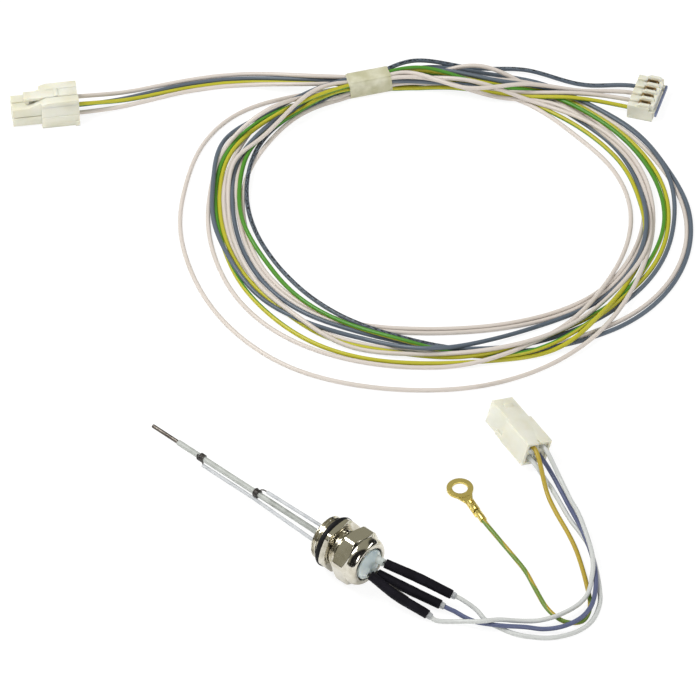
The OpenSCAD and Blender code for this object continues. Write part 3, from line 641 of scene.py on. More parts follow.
def make(name: str, shape: Shape, finish: Finish, replaces: Sequence[str] = (), body: str = "gland",
         sharp: float = 38.0, values: Optional[Dict[str, Array]] = None) -> Object:
    """Turns a shape into a piece.

    Args:
        name: Name of the piece.
        shape: Its points and faces, in millimetres.
        finish: Its finish.
        replaces: CAD nodes that it stands for.
        body: CAD body that it rides on.
        sharp: Angle between faces above which an edge stays crisp.
        values: Numbers to store on its points, by name.

    Returns:
        The piece.
    """
    mesh = bpy.data.meshes.new(name)
    mesh.from_pydata([tuple(MM * c for c in p) for p in shape.points], [], shape.faces)
    for key, numbers in (values or {}).items():
        mesh.attributes.new(key, "FLOAT", "POINT").data.foreach_set("value", numbers.astype(np.float32))
    face_outward(mesh)
    mesh.shade_smooth()
    mesh.set_sharp_from_angle(angle=math.radians(sharp))
    return attach(linked(name, mesh), finish, body, replaces)


class Carving:
    """A solid made by joining and cutting simple bodies, in its own frame and in millimetres."""

    def __init__(self, name: str) -> None:
        """Starts an empty solid."""
        self.name = name
        self.steps: List[Tuple[bool, Object]] = []

    def _tool(self, points: Points, faces: Sequence[Sequence[int]], cut: bool) -> "Carving":
        """Keeps one body to join or cut."""
        mesh = bpy.data.meshes.new(self.name + "_tool")
        mesh.from_pydata([tuple(float(c) for c in p) for p in points], [], [tuple(f) for f in faces])
        face_outward(mesh)
        self.steps.append((cut, linked(mesh.name, mesh)))
        return self

    def _drawn(self, points: Points, cut: bool = False) -> "Carving":
        """Keeps an outline drawn out to the same outline, the points of both in one list."""
        n = len(points) // 2
        sides = [(k, (k + 1) % n, n + (k + 1) % n, n + k) for k in range(n)]
        return self._tool(points, [tuple(range(n)), tuple(range(n, 2 * n))] + sides, cut)

    def box(self, x: Pair, y: Pair, z: Pair, cut: bool = False) -> "Carving":
        """Adds or cuts a box between limits."""
        return self.prism([(x[0], z[0]), (x[1], z[0]), (x[1], z[1]), (x[0], z[1])], y, cut)

    def prism(self, outline: Sequence[Pair], y: Pair, cut: bool = False) -> "Carving":
        """Adds or cuts an outline in x and z, drawn across y."""
        return self._drawn([(x, side, z) for side in y for x, z in outline], cut)

    def prism_x(self, outline: Sequence[Pair], x: Pair) -> "Carving":
        """Adds an outline in y and z, drawn along x."""
        return self._drawn([(station, y, z) for station in x for y, z in outline])

    def plate(self, outline: Sequence[Pair], z: Pair) -> "Carving":
        """Adds an outline in x and y, drawn up along z."""
        return self._drawn([(x, y, level) for level in z for x, y in outline])

    def rod(self, start: Sequence[float], end: Sequence[float], d: float, cut: bool = False,
            sides: int = 32) -> "Carving":
        """Adds or cuts a round bar between two points."""
        shape = Shape().tube(np.array([start, end], float), d / 2, sides)
        return self._tool(shape.points, shape.faces, cut)

    def finish(self, place: Pose, soft: float, finish: Finish, replaces: Sequence[str], body: str = "gland",
               segments: int = 2) -> Object:
        """Works the solid out, softens its edges and makes it a piece.

        Args:
            place: Where its frame lies.
            soft: Width of the softened edges.
            finish: Its finish.
            replaces: CAD nodes that it stands for.
            body: CAD body that it rides on.
            segments: Steps across a softened edge.

        Returns:
            The piece.
        """
        obj = self.steps[0][1]
        for k, (cut, tool) in enumerate(self.steps[1:]):
            change = obj.modifiers.new(f"step{k}", "BOOLEAN")
            change.operation = "DIFFERENCE" if cut else "UNION"
            change.solver = "EXACT"
            change.object = tool
        mesh = self._worked(obj)
        net = bmesh.new()
        net.from_mesh(mesh)
        bmesh.ops.remove_doubles(net, verts=net.verts, dist=0.001)
        bmesh.ops.dissolve_limit(net, angle_limit=math.radians(1), verts=net.verts, edges=net.edges)
        net.to_mesh(mesh)
        net.free()
        old = obj.data
        obj.modifiers.clear()
        obj.data = mesh
        bevel = obj.modifiers.new("soft", "BEVEL")
        bevel.width = soft
        bevel.segments = segments
        bevel.limit_method = "ANGLE"
        bevel.angle_limit = math.radians(40)
        done = self._worked(obj)
        done.name = self.name
        corners = np.zeros(len(done.vertices) * 3)
        done.vertices.foreach_get("co", corners)
        placed = np.array([place.at(p) for p in corners.reshape(-1, 3)]) * MM
        done.vertices.foreach_set("co", placed.ravel())
        done.update()
        piece = linked(self.name, done)
        for _, tool in self.steps:
            bpy.data.objects.remove(tool)
        bpy.data.meshes.remove(mesh)
        if old.users == 0:
            bpy.data.meshes.remove(old)
        done.shade_smooth()
        done.set_sharp_from_angle(angle=math.radians(32))
        return attach(piece, finish, body, replaces)

    @staticmethod
    def _worked(obj: Object) -> Mesh:
        """The object's mesh with its modifiers worked out."""
        bpy.context.view_layer.update()
        return bpy.data.meshes.new_from_object(obj.evaluated_get(bpy.context.evaluated_depsgraph_get()))


# ---- studio ----


@dataclass
class Studio:
    """Camera, lamps and floor."""

    azimuth: float = 42.0
    elevation: float = 44.0
    distance: float = 2000.0
    view_width: float = 245.6
    target: Place = (-66.37, 80.23, SURFACE_Z)
    sensor: float = 36.0
    room: Colour = (0.33, 0.32, 0.25)
    dark_side: Colour = (0.012, 0.012, 0.012)
    near_side: Place = (0.66, -0.64, 0.38)
    rear_side: Place = (0.26, 0.92, 0.27)
    floor_half: float = 9.0

    def camera(self) -> None:
        """Sets the camera up."""
        a, e = math.radians(self.azimuth), math.radians(self.elevation)
        ahead = np.array([-math.sin(a) * math.cos(e), math.cos(a) * math.cos(e), -math.sin(e)])
        data = bpy.data.cameras.new("camera")
        data.sensor_width = self.sensor
        data.lens = self.sensor * self.distance / self.view_width
        data.clip_end = 20.0
        obj = linked("camera", data)
        obj.location = [MM * c for c in np.array(self.target) - ahead * self.distance]
        obj.rotation_euler = (math.pi / 2 - e, 0.0, a)
        bpy.context.scene.camera = obj

    def lamp(self, name: str, place: Sequence[float], size: Pair, power: float) -> None:
        """Hangs a soft box that faces the part.

        Args:
            name: Name of the lamp.
            place: Where it hangs, in millimetres from the target.
            size: Its width and height in millimetres.
            power: Its power in watts.
        """
        data = bpy.data.lights.new(name, "AREA")
        data.shape = "RECTANGLE"
        data.size, data.size_y = (MM * s for s in size)
        data.energy = power
        obj = linked(name, data)
        at = np.array(place, float)
        obj.location = [MM * c for c in at + np.array(self.target)]
        flat = math.hypot(at[0], at[1])
        obj.rotation_euler = (math.atan2(flat, at[2]), 0.0, math.atan2(at[1], at[0]) + math.pi / 2)

    def world(self) -> None:
        """A surround that is white where it is seen, and a dim room with dark sides in mirrors."""
        world = bpy.data.worlds.new("surround")
        bpy.context.scene.world = world
        paint = Paint(world)
        seen, mirror = paint.rays()
        near, rear, up = (paint.toward(way) for way in (self.near_side, self.rear_side, (0, 0, 1)))
        skirting = up.step(0.02, 0.1) * (1 - up.step(0.16, 0.24)) * 0.8
        dark = near.step(0.42, 0.62) + rear.step(0.78, 0.9) + skirting
        mirrored = paint.either(dark, paint.surround(self.room), paint.surround(self.dark_side))
        lit = paint.either(mirror, paint.surround(WHITE, 0.5), mirrored)
        shown = paint.either(seen, lit, paint.surround(WHITE))
        paint.node("ShaderNodeOutputWorld", None, {"Surface": shown})

    def floor(self) -> None:
        """A plain pale floor that keeps the part's shadow."""
        paint = Paint.new("pale_floor")
        pale = paint.blend(paint.noise(14, 2), srgb("f6f6f5"), srgb("f9f9f8"))
        matt = paint.node("ShaderNodeBsdfDiffuse", None, {"Color": pale})
        white = paint.node("ShaderNodeEmission", None, {"Color": WHITE, "Strength": 1.08})
        seen, mirror = paint.rays()
        material = paint.output(paint.either(seen * 0.8 + mirror * 0.15, matt, white))
        mesh = bpy.data.meshes.new("floor")
        corners = ((-1, -1), (1, -1), (1, 1), (-1, 1))
        mesh.from_pydata([(self.floor_half * x, self.floor_half * y, SURFACE_Z * MM) for x, y in corners],
                         [], [(0, 1, 2, 3)])
        mesh.materials.append(material)
        obj = linked("floor", mesh)

    def build(self) -> None:
        """Sets up the whole studio."""
        self.camera()
        self.world()
        self.floor()
        self.lamp("key", (-500, -350, 900), (600, 420), 8.5)
        self.lamp("fill", (900, -620, 560), (160, 420), 2.6)
        self.lamp("rim", (700, 800, 650), (800, 160), 2.6)
        bpy.context.scene.view_settings.view_transform = "Standard"


# ---- where the connectors lie ----


# How far a lead runs straight outside a housing, and how far it goes into its cavity
LEAD_OUT, LEAD_IN = 2.5, 3.8


@dataclass(frozen=True)
class HousingSizes:
    """A housing with four cavities: its sizes and where it lies."""

    length: float
    nose: float
    width: float
    height: float
    at: Pair
    heading: float
    roll: float = 0.0
    pitch: float = 4.2

    def pose(self) -> Pose:
        """Where its frame lies."""
        a = math.radians(self.roll)
        z = SURFACE_Z + self.height / 2 * math.cos(a) + self.width / 2 * math.sin(a)
        return Pose((*self.at, z), self.heading, self.roll)

    def lead_end(self, side: int, up: int) -> List[Array]:
        """The straight end of a lead: one bend outside the cavity, then just inside it."""
        h = self.pitch / 2
        return [self.pose().at((x, side * h, up * h))
                for x in (self.length + LEAD_OUT, self.length - LEAD_IN)]


@dataclass(frozen=True)
class BoardSizes:
    """The harness board connector."""

    length: float = 17.6
    depth: float = 9.4
    height: float = 6.0
    pitch: float = 3.96
    lead_level: float = 2.4
    lead_in: float = 2.3
    heading: float = 115.0
    at: Pair = (-72.7, 249.3)

    def pose(self) -> Pose:
        """Where its frame lies."""
        return Pose((*self.at, SURFACE_Z + self.height / 2), self.heading)

    def slot_x(self, k: int) -> float:
        """Place of a contact along the housing."""
        return (k - 1.5) * self.pitch

    def lead_end(self, k: int) -> List[Array]:
        """The straight end of a lead: one bend outside the housing, then just inside it."""
        z = self.lead_level - self.height / 2
        return [self.pose().at((self.slot_x(k), y, z))
                for y in (self.depth / 2 + LEAD_OUT, self.depth / 2 - self.lead_in)]


SOCKET = HousingSizes(length=25.0, nose=11.0, width=10.2, height=9.2, at=(-4.5, 88.3), heading=-17.5,
                      roll=16.0)
PLUG = HousingSizes(length=24.3, nose=10.5, width=11.7, height=9.4, at=(-239.0, 87.2), heading=51.0)
BOARD = BoardSizes()


# ---- leads ----


class Wire(Enum):
    """The four leads, and where each goes: side and level at the plug, and place at the board."""

    WHITE_A = ("white_a", (1, 1), 2)
    GREY = ("grey", (1, -1), 3)
    WHITE_B = ("white_b", (-1, -1), 1)
    EARTH = ("earth", (-1, 1), 0)

    @property
    def label(self) -> str:
        """Name used for the lead's pieces."""
        return self.value[0]

    @property
    def finish(self) -> Finish:
        """The lead's insulation."""
        return {"grey": Finishes.grey, "earth": Finishes.earth}.get(self.label, Finishes.white)


@dataclass
class LeadMaker:
    """Makes round leads with what their stripe and printing need."""

    ring_step: float = 1.1
    sides: int = 12

    def make(self, name: str, path: Array, finish: Finish, replaces: Sequence[str], seed: float,
             stripe: Optional[Callable[[Array], Array]] = None,
             printed: Sequence[Pair] = ()) -> Object:
        """Sweeps a lead along its path.

        Args:
            name: Name of the piece.
            path: Centreline, in millimetres.
            finish: The insulation.
            replaces: CAD nodes that it stands for.
            seed: What makes it differ from the others.
            stripe: Angle of the stripe from the top at each distance along the lead.
            printed: Stretches with printing, by the distances from the lead's end.

        Returns:
            The piece.
        """
        line = even(path, self.ring_step)
        run = np.arange(len(line)) * self.ring_step
        wobble = 1 + 0.012 * np.sin(run / 7.3 + seed) + 0.008 * np.sin(run / 2.9 + 2 * seed)
        shape = Shape().tube(line, LEAD_D / 2 * wobble, self.sides)
        out = np.array(shape.points).reshape(len(line), self.sides, 3) - line[:, None]
        out /= np.linalg.norm(out, axis=2)[..., None]
        side = np.cross(np.gradient(line, axis=0), (0, 0, 1.0))
        side /= np.maximum(np.linalg.norm(side, axis=1), 1e-6)[:, None]
        angle = np.arctan2((out * side[:, None]).sum(2), out[..., 2])
        turned_to = (stripe or self.slow_twist)(run)
        inked = sum(((run > run[-1] - a) & (run < run[-1] - b)).astype(float) for a, b in printed) + 0 * run
        print_turn = 0.7 * np.sin(run / 60 + seed)
        values = {"along": np.repeat(run, self.sides),
                  "around": np.tile(np.arange(self.sides) * 2 * math.pi / self.sides, len(line)),
                  "stripe": (np.cos(angle - turned_to[:, None]) - 0.3).ravel(),
                  "printed": (np.cos(angle - print_turn[:, None]) * inked[:, None]).ravel()}
        return make(name, shape, finish, replaces, sharp=70, values=values)

    @staticmethod
    def slow_twist(run: Array) -> Array:
        """A stripe's angle that wanders on one side of the lead, and lies underneath near both ends."""
        ends = np.clip((np.abs(run / run[-1] - 0.5) - 0.41) / 0.02, 0, 1)
        return (1.5 + 1.5 * np.sin(run / 130 + 6.1) + 0.5 * np.sin(run / 47)) * (1 - ends) + 2.9 * ends


# Turns of the loose coil: distance from the hub, every fifteen degrees clockwise from the back of the coil
TURN_ANGLES = range(90, -241, -15)
TURNS: Dict[str, List[float]] = {
    "w1": [75.5, 76.5, 77.5, 78, 78, 77, 75.5, 75, 76.5, 79.5, 83.5, 87, 89, 91, 94, 95,
           94.5, 94, 94, 94, 94.5, 90.5, 83.5],
    "w2": [73, 71, 68.5, 66, 66.5, 67.5, 68, 67.5, 67, 68, 69.5, 71.5, 76, 79, 82, 84,
           84.5, 84, 84, 85, 87, 85, 80.5],
    "y1": [73.5, 72, 70.5, 69.5, 70.5, 72.5, 73, 73, 73.5, 74, 75, 75, 75.5, 77.5, 79.5,
           80, 79.5, 79, 80.5, 84, 85.5, 84, 79],
    "g1": [73, 73.5, 73, 73, 73.5, 73.5, 73, 72.5, 70.5, 68, 66, 65, 65.5, 67, 70, 73, 76,
           78.5, 81, 85.5, 89.5, 87.5, 82.5],
    "w3": [79.5, 79.5, 79.5, 79.5, 82, 85.5, 88, 88, 86, 81, 77.5, 74, 71, 71, 73.5, 73,
           74, 76.5, 78, 81, 82.5, 82.5, 79],
    "g2": [81, 80.5, 81.3, 83, 85.5, 85.5, 83.5, 82, 79, 75.5, 73, 70.5, 67.5, 65, 66, 68,
           71.5, 72.5, 75, 77, 80, 80.5, 78],
    "w4": [74, 75, 76.5, 77, 76.5, 76, 74, 72.5, 70, 69.5, 68.5, 67, 67.5, 69.5, 72, 71.5,
           73, 75, 77, 79, 81.5, 81.5, 79],
    "y2": [81, 80.5, 80, 79.5, 79.5, 80, 80, 78, 75, 73, 71, 69.5, 69, 70.5, 73, 75, 75,
           77.5, 79, 82.5, 84, 82, 77],
    "y3": [80.5, 80, 80.5, 81, 81, 81.5, 81.5, 80, 77, 74.5, 74.5, 71.5, 66, 62.5, 63.5,
           65.5, 67, 68, 72, 76, 80, 80, 75.5],
    "w5": [79, 78, 77, 76.5, 76, 75.5, 73.5, 71.5, 69.5, 66, 63, 60.5, 60.5, 62, 66, 68.5,
           70, 71, 73, 76.5, 78.5, 77.5, 74.5],
    "w6": [79.5, 78.5, 77.5, 76.5, 75.5, 74.5, 73, 71, 68.5, 65.5, 61.5, 59, 58.5, 60, 64,
           67, 69, 70, 71, 73.5, 74.5, 75, 74],
    "g3": [82, 81.5, 81, 82.5, 84.5, 86, 89, 89.5, 88, 83.5, 77.5, 72.5, 67, 63.5, 62.5,
           63, 63.5, 65.5, 69, 72.5, 76.5, 78.5, 77.5],
}
# Tails from the tape to the board: the first points by angle and distance, as for the turns, then
# points in the part's frame, which past the station BOARD_SIDE_X are kept as they are
TAIL_TURNS: Dict[str, List[Pair]] = {
    "grey_out": [(90, 85.6), (80, 85), (72, 84.8)], "white_a_out": [(90, 76.5), (80, 75.5), (72, 76.5)],
    "white_b_out": [(90, 71.5), (80, 72.5), (72, 75)], "earth_out": [(90, 69.5), (80, 70), (72, 72)],
}
BOARD_SIDE_X = -110.0
TAIL_ROUTES: Dict[str, List[Pair]] = {
    "grey_out": [(-109.2, 234.8), (-99.6, 241), (-90.9, 244.6)],
    "white_a_out": [(-105.4, 228.9), (-95.4, 234.4), (-87.5, 239.4)],
    "white_b_out": [(-104.4, 226.4), (-94.4, 231.9), (-86.5, 236.5)],
    "earth_out": [(-103.8, 223.6), (-93.4, 229), (-85.8, 233.8)],
}
PLUG_ROUTES: Dict[str, List[Pair]] = {
    "grey_in": [(-219.2, 114.6), (-215.9, 124.2), (-209.7, 136.6), (-199, 150.6),
                (-186, 164.2), (-176.1, 172.6), (-168.6, 176.2)],
    "white_a_in": [(-221, 115), (-217.8, 125.2), (-211.7, 138.2), (-200.7, 152),
                   (-187.2, 165.6), (-177.4, 174), (-169.6, 177.3)],
    "white_b_in": [(-216.1, 112.3), (-212.4, 122.2), (-206.7, 134), (-196.2, 148),
                   (-183.4, 161.6), (-173.4, 169.5), (-166, 173.3)],
    "earth_in": [(-218, 113.4), (-214.1, 123.1), (-208.2, 135.3), (-197.6, 149.3),
                 (-184.7, 162.9), (-174.8, 171.1), (-167.2, 175)],
}
WIRE_TURNS = {Wire.WHITE_A: ("w1", "w3", "w5"), Wire.WHITE_B: ("w2", "w4", "w6"),
              Wire.GREY: ("g1", "g2", "g3"), Wire.EARTH: ("y1", "y2", "y3")}
# The tape's four rows of four strands at its right and left ends, from the inner side, bottom row first
RIGHT_SLOTS = (("earth_out", "white_b_out", "g1", "w4"), ("y1", "w2", "w1", "white_a_out"),
               ("w6", "w5", "y3", "y2"), ("w3", "g3", "g2", "grey_out"))
LEFT_SLOTS = (("w6", "w5", "y3", "y2"), ("w3", "g3", "y1", "w4"),
              ("g2", "w2", "white_b_in", "g1"), ("w1", "earth_in", "grey_in", "white_a_in"))
# Which strand lies over which, bottom first: near the tape's right end, down the right and the left side
ORDER_NEAR = "y1 w2 earth_out white_b_out w6 w5 w3 g3 g2 y3 y2 g1 w4 w1 white_a_out grey_out".split()
ORDER_RIGHT = "w6 w5 w3 g3 g2 y3 y2 y1 g1 w2 earth_out white_b_out w4 w1 white_a_out grey_out".split()
ORDER_LEFT = "w6 w5 w3 g3 g2 y3 y2 y1 w2 w1 earth_in white_b_in grey_in g1 w4 white_a_in".split()
# Angles round the hub at which one order hands over to the next, and the degrees to each side of
# them where two strands aren't stacked if the orders disagree
ORDER_EDGES, ORDER_BLUR = (80.0, -100.0), 5.0
# How many of a strand's points stay held at the plug, at the board connector and at the tape
HELD_PLUG, HELD_BOARD, HELD_TAPE = 7, 6, 3


@dataclass
class TapeSizes:
    """The tape's band round the bundle."""

    at: Pair = (-153.5, 187.0)
    heading: float = 58.0
    length: float = 16.0
    thickness: float = 0.4
    pitch: float = 1.7
    rows: Tuple[float, ...] = (-8.8, -7.05, -5.3, -3.6)

    @property
    def width(self) -> float:
        """Outer width over four strands."""
        return 4 * self.pitch + 2 * self.thickness

    def pose(self) -> Pose:
        """Where its frame lies."""
        return Pose((*self.at, SURFACE_Z + self.width / 2), self.heading)

    def slot(self, end: int, column: float, row: int, beyond: float) -> Array:
        """Where a strand crosses an end of the tape, or a place beyond it."""
        p = self.pose().at((end * (self.length / 2 + beyond), column * self.pitch, 0))
        return np.array([p[0], p[1], self.rows[row]])


@dataclass
class Strand:
    """One turn or tail of the coil.

    It has a plan with the heights at its two ends, the stretch of the plan that is set back by the
    strand's height, and how many points stay held at its two ends.
    """

    name: str
    plan: List[Array]
    start_z: float
    end_z: float
    turned: slice
    held: Tuple[int, int]


@dataclass
class CoilLay:
    """Lays the harness's strands in their loose coil, resting on the surface and on each other.

    The turns were set out along a slanting sight, so each is set back by lean for every millimetre
    that it rises above the lowest layer, up to the height of the stack.
    """

    tape: TapeSizes = field(default_factory=TapeSizes)
    centre: Pair = (-66.37, 80.23)
    sight: float = 42.0
    hub: Pair = (33.0, 68.0)
    last_angle: float = 110.7
    layer: float = -9.0
    lean: float = 1.0355
    step: float = 1.0
    stack: float = 5.6
    squeeze: float = 6.0
    give: float = 22.0
    sag: float = 0.004
    sink: float = 0.012
    pull: float = 0.03
    reach: float = 2.8
    own_reach: int = 12
    lay_rounds: int = 900
    rounds: int = 400
    quick_rounds: int = 60

    def __post_init__(self) -> None:
        """Works out the directions along which the turns were set out."""
        a = math.radians(self.sight)
        self.right = np.array([math.cos(a), math.sin(a)])
        self.back = np.array([-math.sin(a), math.cos(a)])

    def polar(self, angle: float, distance: float) -> Array:
        """The plan point at an angle and distance from the hub."""
        a = math.radians(angle)
        across, away = self.hub[0] + distance * math.cos(a), self.hub[1] + distance * math.sin(a)
        return np.array(self.centre) + across * self.right + away * self.back

    def angles(self, plan: Array) -> Array:
        """Angle of plan points round the hub, counted back from the tape's right end."""
        offset = plan - np.array(self.centre)
        a = np.degrees(np.arctan2(offset @ self.back - self.hub[1], offset @ self.right - self.hub[0]))
        return np.where(a > self.last_angle, a - 360, a)

    def slot_of(self, name: str, end: int) -> Tuple[float, int]:
        """Column and row of a strand at an end of the tape."""
        for k, column in enumerate(RIGHT_SLOTS if end > 0 else LEFT_SLOTS):
            if name in column:
                return k - 1.5, column.index(name)
        raise KeyError(name)

    def tape_end(self, name: str, end: int) -> Tuple[List[Array], float]:
        """A strand's straight end in and beyond the tape, outward, and its height there."""
        column, row = self.slot_of(name, end)
        return [self.tape.slot(end, column, row, beyond)[:2] for beyond in (0, 5)], self.tape.rows[row]

    def strands(self) -> List[Strand]:
        """Every turn and tail as it was set out."""
        made = []
        for name, distances in TURNS.items():
            (start, start_z), (end, end_z) = self.tape_end(name, 1), self.tape_end(name, -1)
            points = [self.polar(a, d) for a, d in zip(TURN_ANGLES, distances)]
            made.append(Strand(name, start + points + end[::-1], start_z, end_z,
                               slice(2, 2 + len(points)), (HELD_TAPE, HELD_TAPE)))
        for wire in Wire:
            name = wire.label + "_out"
            start, start_z = self.tape_end(name, 1)
            points = [self.polar(a, d) for a, d in TAIL_TURNS[name]]
            end = BOARD.lead_end(wire.value[2])
            plan = start + points + [np.array(p) for p in TAIL_ROUTES[name]] + [p[:2] for p in end]
            made.append(Strand(name, plan, start_z, end[0][2], slice(2, 2 + len(points)),
                               (HELD_TAPE, HELD_BOARD)))
        for wire in Wire:
            name = wire.label + "_in"
            start = PLUG.lead_end(*wire.value[1])[::-1]
            end, end_z = self.tape_end(name, -1)
            plan = [p[:2] for p in start] + [np.array(p) for p in PLUG_ROUTES[name]] + end[::-1]
            made.append(Strand(name, plan, start[0][2], end_z, slice(0), (HELD_PLUG, HELD_TAPE)))
        return made

    def pairs(self, points: Array, reach: float) -> Tuple[Array, Array]:
        """Finds points that lie within reach of each other.

        Args:
            points: Plan or space points.
            reach: The distance.

        Returns:
            Two arrays of indices, each pair once.
        """
        cells: Dict[Tuple[int, int], List[int]] = defaultdict(list)
        for i, key in enumerate(map(tuple, np.floor(points[:, :2] / reach).astype(int))):
            cells[key].append(i)
        first, second = [], []
        for (x, y), members in cells.items():
            a = np.array(members)
            for dx, dy in ((0, 0), (1, 0), (1, 1), (0, 1), (-1, 1)):
                others = cells.get((x + dx, y + dy))
                if others is None:
                    continue
                b = np.array(others)
                apart = np.linalg.norm(points[a][:, None] - points[b][None], axis=2)
                i, j = np.nonzero(apart < reach)
                if dx == 0 and dy == 0:
                    once = a[i] < b[j]
                    i, j = i[once], j[once]
                first.append(a[i])
                second.append(b[j])
        return np.concatenate(first), np.concatenate(second)

    def heights(self, strands: List[Strand], plans: List[Array]) -> List[Array]:
        """Stacks the strands where they cross.

        Args:
            strands: The strands.
            plans: Their plans, evenly spaced.

        Returns:
            Each strand's heights.
        """
        owner = np.concatenate([np.full(len(p), i) for i, p in enumerate(plans)])
        plan = np.vstack(plans)
        start = np.cumsum([0] + [len(p) for p in plans])
        angle = self.angles(plan)
        rank = np.array([[order.index(s.name) if s.name in order else 50 for s in strands]
                         for order in (ORDER_NEAR, ORDER_RIGHT, ORDER_LEFT)])
        zone = np.where(angle > ORDER_EDGES[0], 0, np.where(angle > ORDER_EDGES[1], 1, 2))
        i, j = self.pairs(plan, LEAD_D)
        i, j = np.r_[i, j], np.r_[j, i]
        rise = np.sqrt(np.maximum(LEAD_D ** 2 - ((plan[i] - plan[j]) ** 2).sum(1), 0))
        both = np.minimum(zone[i], zone[j])
        under = rank[both, owner[j]] < rank[both, owner[i]]
        middle = (angle[i] + angle[j]) / 2
        lower = rank[:, owner[j]] < rank[:, owner[i]]
        unsure = np.zeros(len(i), bool)
        for k, edge in enumerate(ORDER_EDGES):
            unsure |= (np.abs(middle - edge) < ORDER_BLUR) & (lower[k] != lower[k + 1])
        keep = (owner[i] != owner[j]) & under & ~unsure
        i, j, rise = i[keep], j[keep], rise[keep]
        order = np.argsort(i, kind="stable")
        i, j, rise = i[order], j[order], rise[order]
        lifted, first = np.unique(i, return_index=True)
        z = np.full(len(plan), LEAD_REST)
        fixed = np.zeros(len(plan), bool)
        at = z.copy()
        for k, s in enumerate(strands):
            a, b = start[k], start[k + 1]
            fixed[a:a + s.held[0]], at[a:a + s.held[0]] = True, s.start_z
            fixed[b - s.held[1]:b], at[b - s.held[1]:b] = True, s.end_z
        before, after = np.arange(len(plan)) - 1, np.arange(len(plan)) + 1
        before[start[:-1]], after[start[1:] - 1] = start[:-1], start[1:] - 1
        z[fixed] = at[fixed]
        for _ in range(self.lay_rounds):
            floor = np.full(len(plan), LEAD_REST)
            floor[lifted] = np.maximum(LEAD_REST, np.maximum.reduceat(z[j] + rise, first))
            z = np.maximum(floor, (z[before] + z[after]) / 2 - self.sag)
            z[fixed] = at[fixed]
        return [z[start[k]:start[k + 1]] for k in range(len(strands))]

    def laid(self) -> Dict[str, Array]:
        """The strands set back by their heights and stacked.

        Returns:
            Each strand's points, by its name.
        """
        strands = self.strands()
        drawn = [np.array(s.plan) for s in strands]
        shift = [np.zeros(len(s.plan[s.turned])) for s in strands]
        for _ in range(2):
            lines = []
            for s, plan, back in zip(strands, drawn, shift):
                plan = plan.copy()
                plan[s.turned] -= back[:, None] * self.back
                lines.append(self._line(plan))
            z = self.heights(strands, lines)
            for k, s in enumerate(strands):
                here = drawn[k][s.turned] - shift[k][:, None] * self.back
                share = np.exp(-(np.linalg.norm(lines[k][None] - here[:, None], axis=2) / 8) ** 2)
                mean = (share * (z[k] - self.layer)).sum(1) / np.maximum(share.sum(1), 1e-9)
                shift[k] = np.minimum(mean, self.stack) * self.lean
        return {s.name: np.c_[p, h] for s, p, h in zip(strands, lines, z)}

    def _line(self, plan: Array) -> Array:
        """A plan's smooth curve, spaced by the distance between its corners."""
        q = np.vstack([2 * plan[0] - plan[1], plan, 2 * plan[-1] - plan[-2]])
        out = []
        for a, b, c, d in zip(q[:-3], q[1:-2], q[2:-1], q[3:]):
            t0 = 0.0
            t1 = t0 + np.linalg.norm(b - a) ** 0.5
            t2 = t1 + np.linalg.norm(c - b) ** 0.5
            t3 = t2 + np.linalg.norm(d - c) ** 0.5
            t = np.linspace(t1, t2, 24, endpoint=False)[:, None]
            ab, bc, cd = between(a, b, t, t0, t1), between(b, c, t, t1, t2), between(c, d, t, t2, t3)
            abc, bcd = between(ab, bc, t, t0, t2), between(bc, cd, t, t1, t3)
            out.append(between(abc, bcd, t, t1, t2))
        return even(np.vstack(out + [plan[-1:]]), self.step)

    def joined(self, wire: Wire, lines: Dict[str, Array]) -> Tuple[Array, Array, Array]:
        """Joins one lead's turns and tails through the tape.

        Args:
            wire: The lead.
            lines: Every strand's points.

        Returns:
            The lead's points, which of them are held, and which are set out as they really lie.
        """
        names = [wire.label + "_in", *WIRE_TURNS[wire], wire.label + "_out"]
        points, held, real = [], [], []
        for k, name in enumerate(names):
            line = lines[name]
            if k:
                a, b = points[-1][-1], line[0]
                t = np.linspace(0, 1, int(round(np.linalg.norm(b - a) / self.step)) + 1)[1:-1, None]
                points.append(np.c_[a[:2] + (b - a)[:2] * t, a[2] + (b - a)[2] * t * t * (3 - 2 * t)])
                held.append(np.ones(len(t), bool))
                real.append(np.ones(len(t), bool))
            last = k == len(names) - 1
            fixed = np.zeros(len(line), bool)
            fixed[:HELD_TAPE if k else HELD_PLUG] = True
            fixed[-(HELD_BOARD if last else HELD_TAPE):] = True
            points.append(line)
            held.append(fixed)
            real.append(np.full(len(line), k == 0) | (last & (line[:, 0] > BOARD_SIDE_X)))
        return np.vstack(points), np.concatenate(held), np.concatenate(real)

    def _spline(self, count: int) -> Array:
        """Each knot's share in each of a lead's points, for a curve as stiff as a lead."""
        knots = max(6, int(round((count - 1) * self.step / self.give)) + 3)
        u = np.minimum(np.linspace(0, knots - 3, count), knots - 3 - 1e-9)
        i = np.floor(u).astype(int)
        t = u - i
        shares = np.stack([(1 - t) ** 3, 3 * t ** 3 - 6 * t ** 2 + 4,
                           -3 * t ** 3 + 3 * t ** 2 + 3 * t + 1, t ** 3], 1) / 6
        table = np.zeros((count, knots))
        for k in range(4):
            table[np.arange(count), i + k] = shares[:, k]
        return table

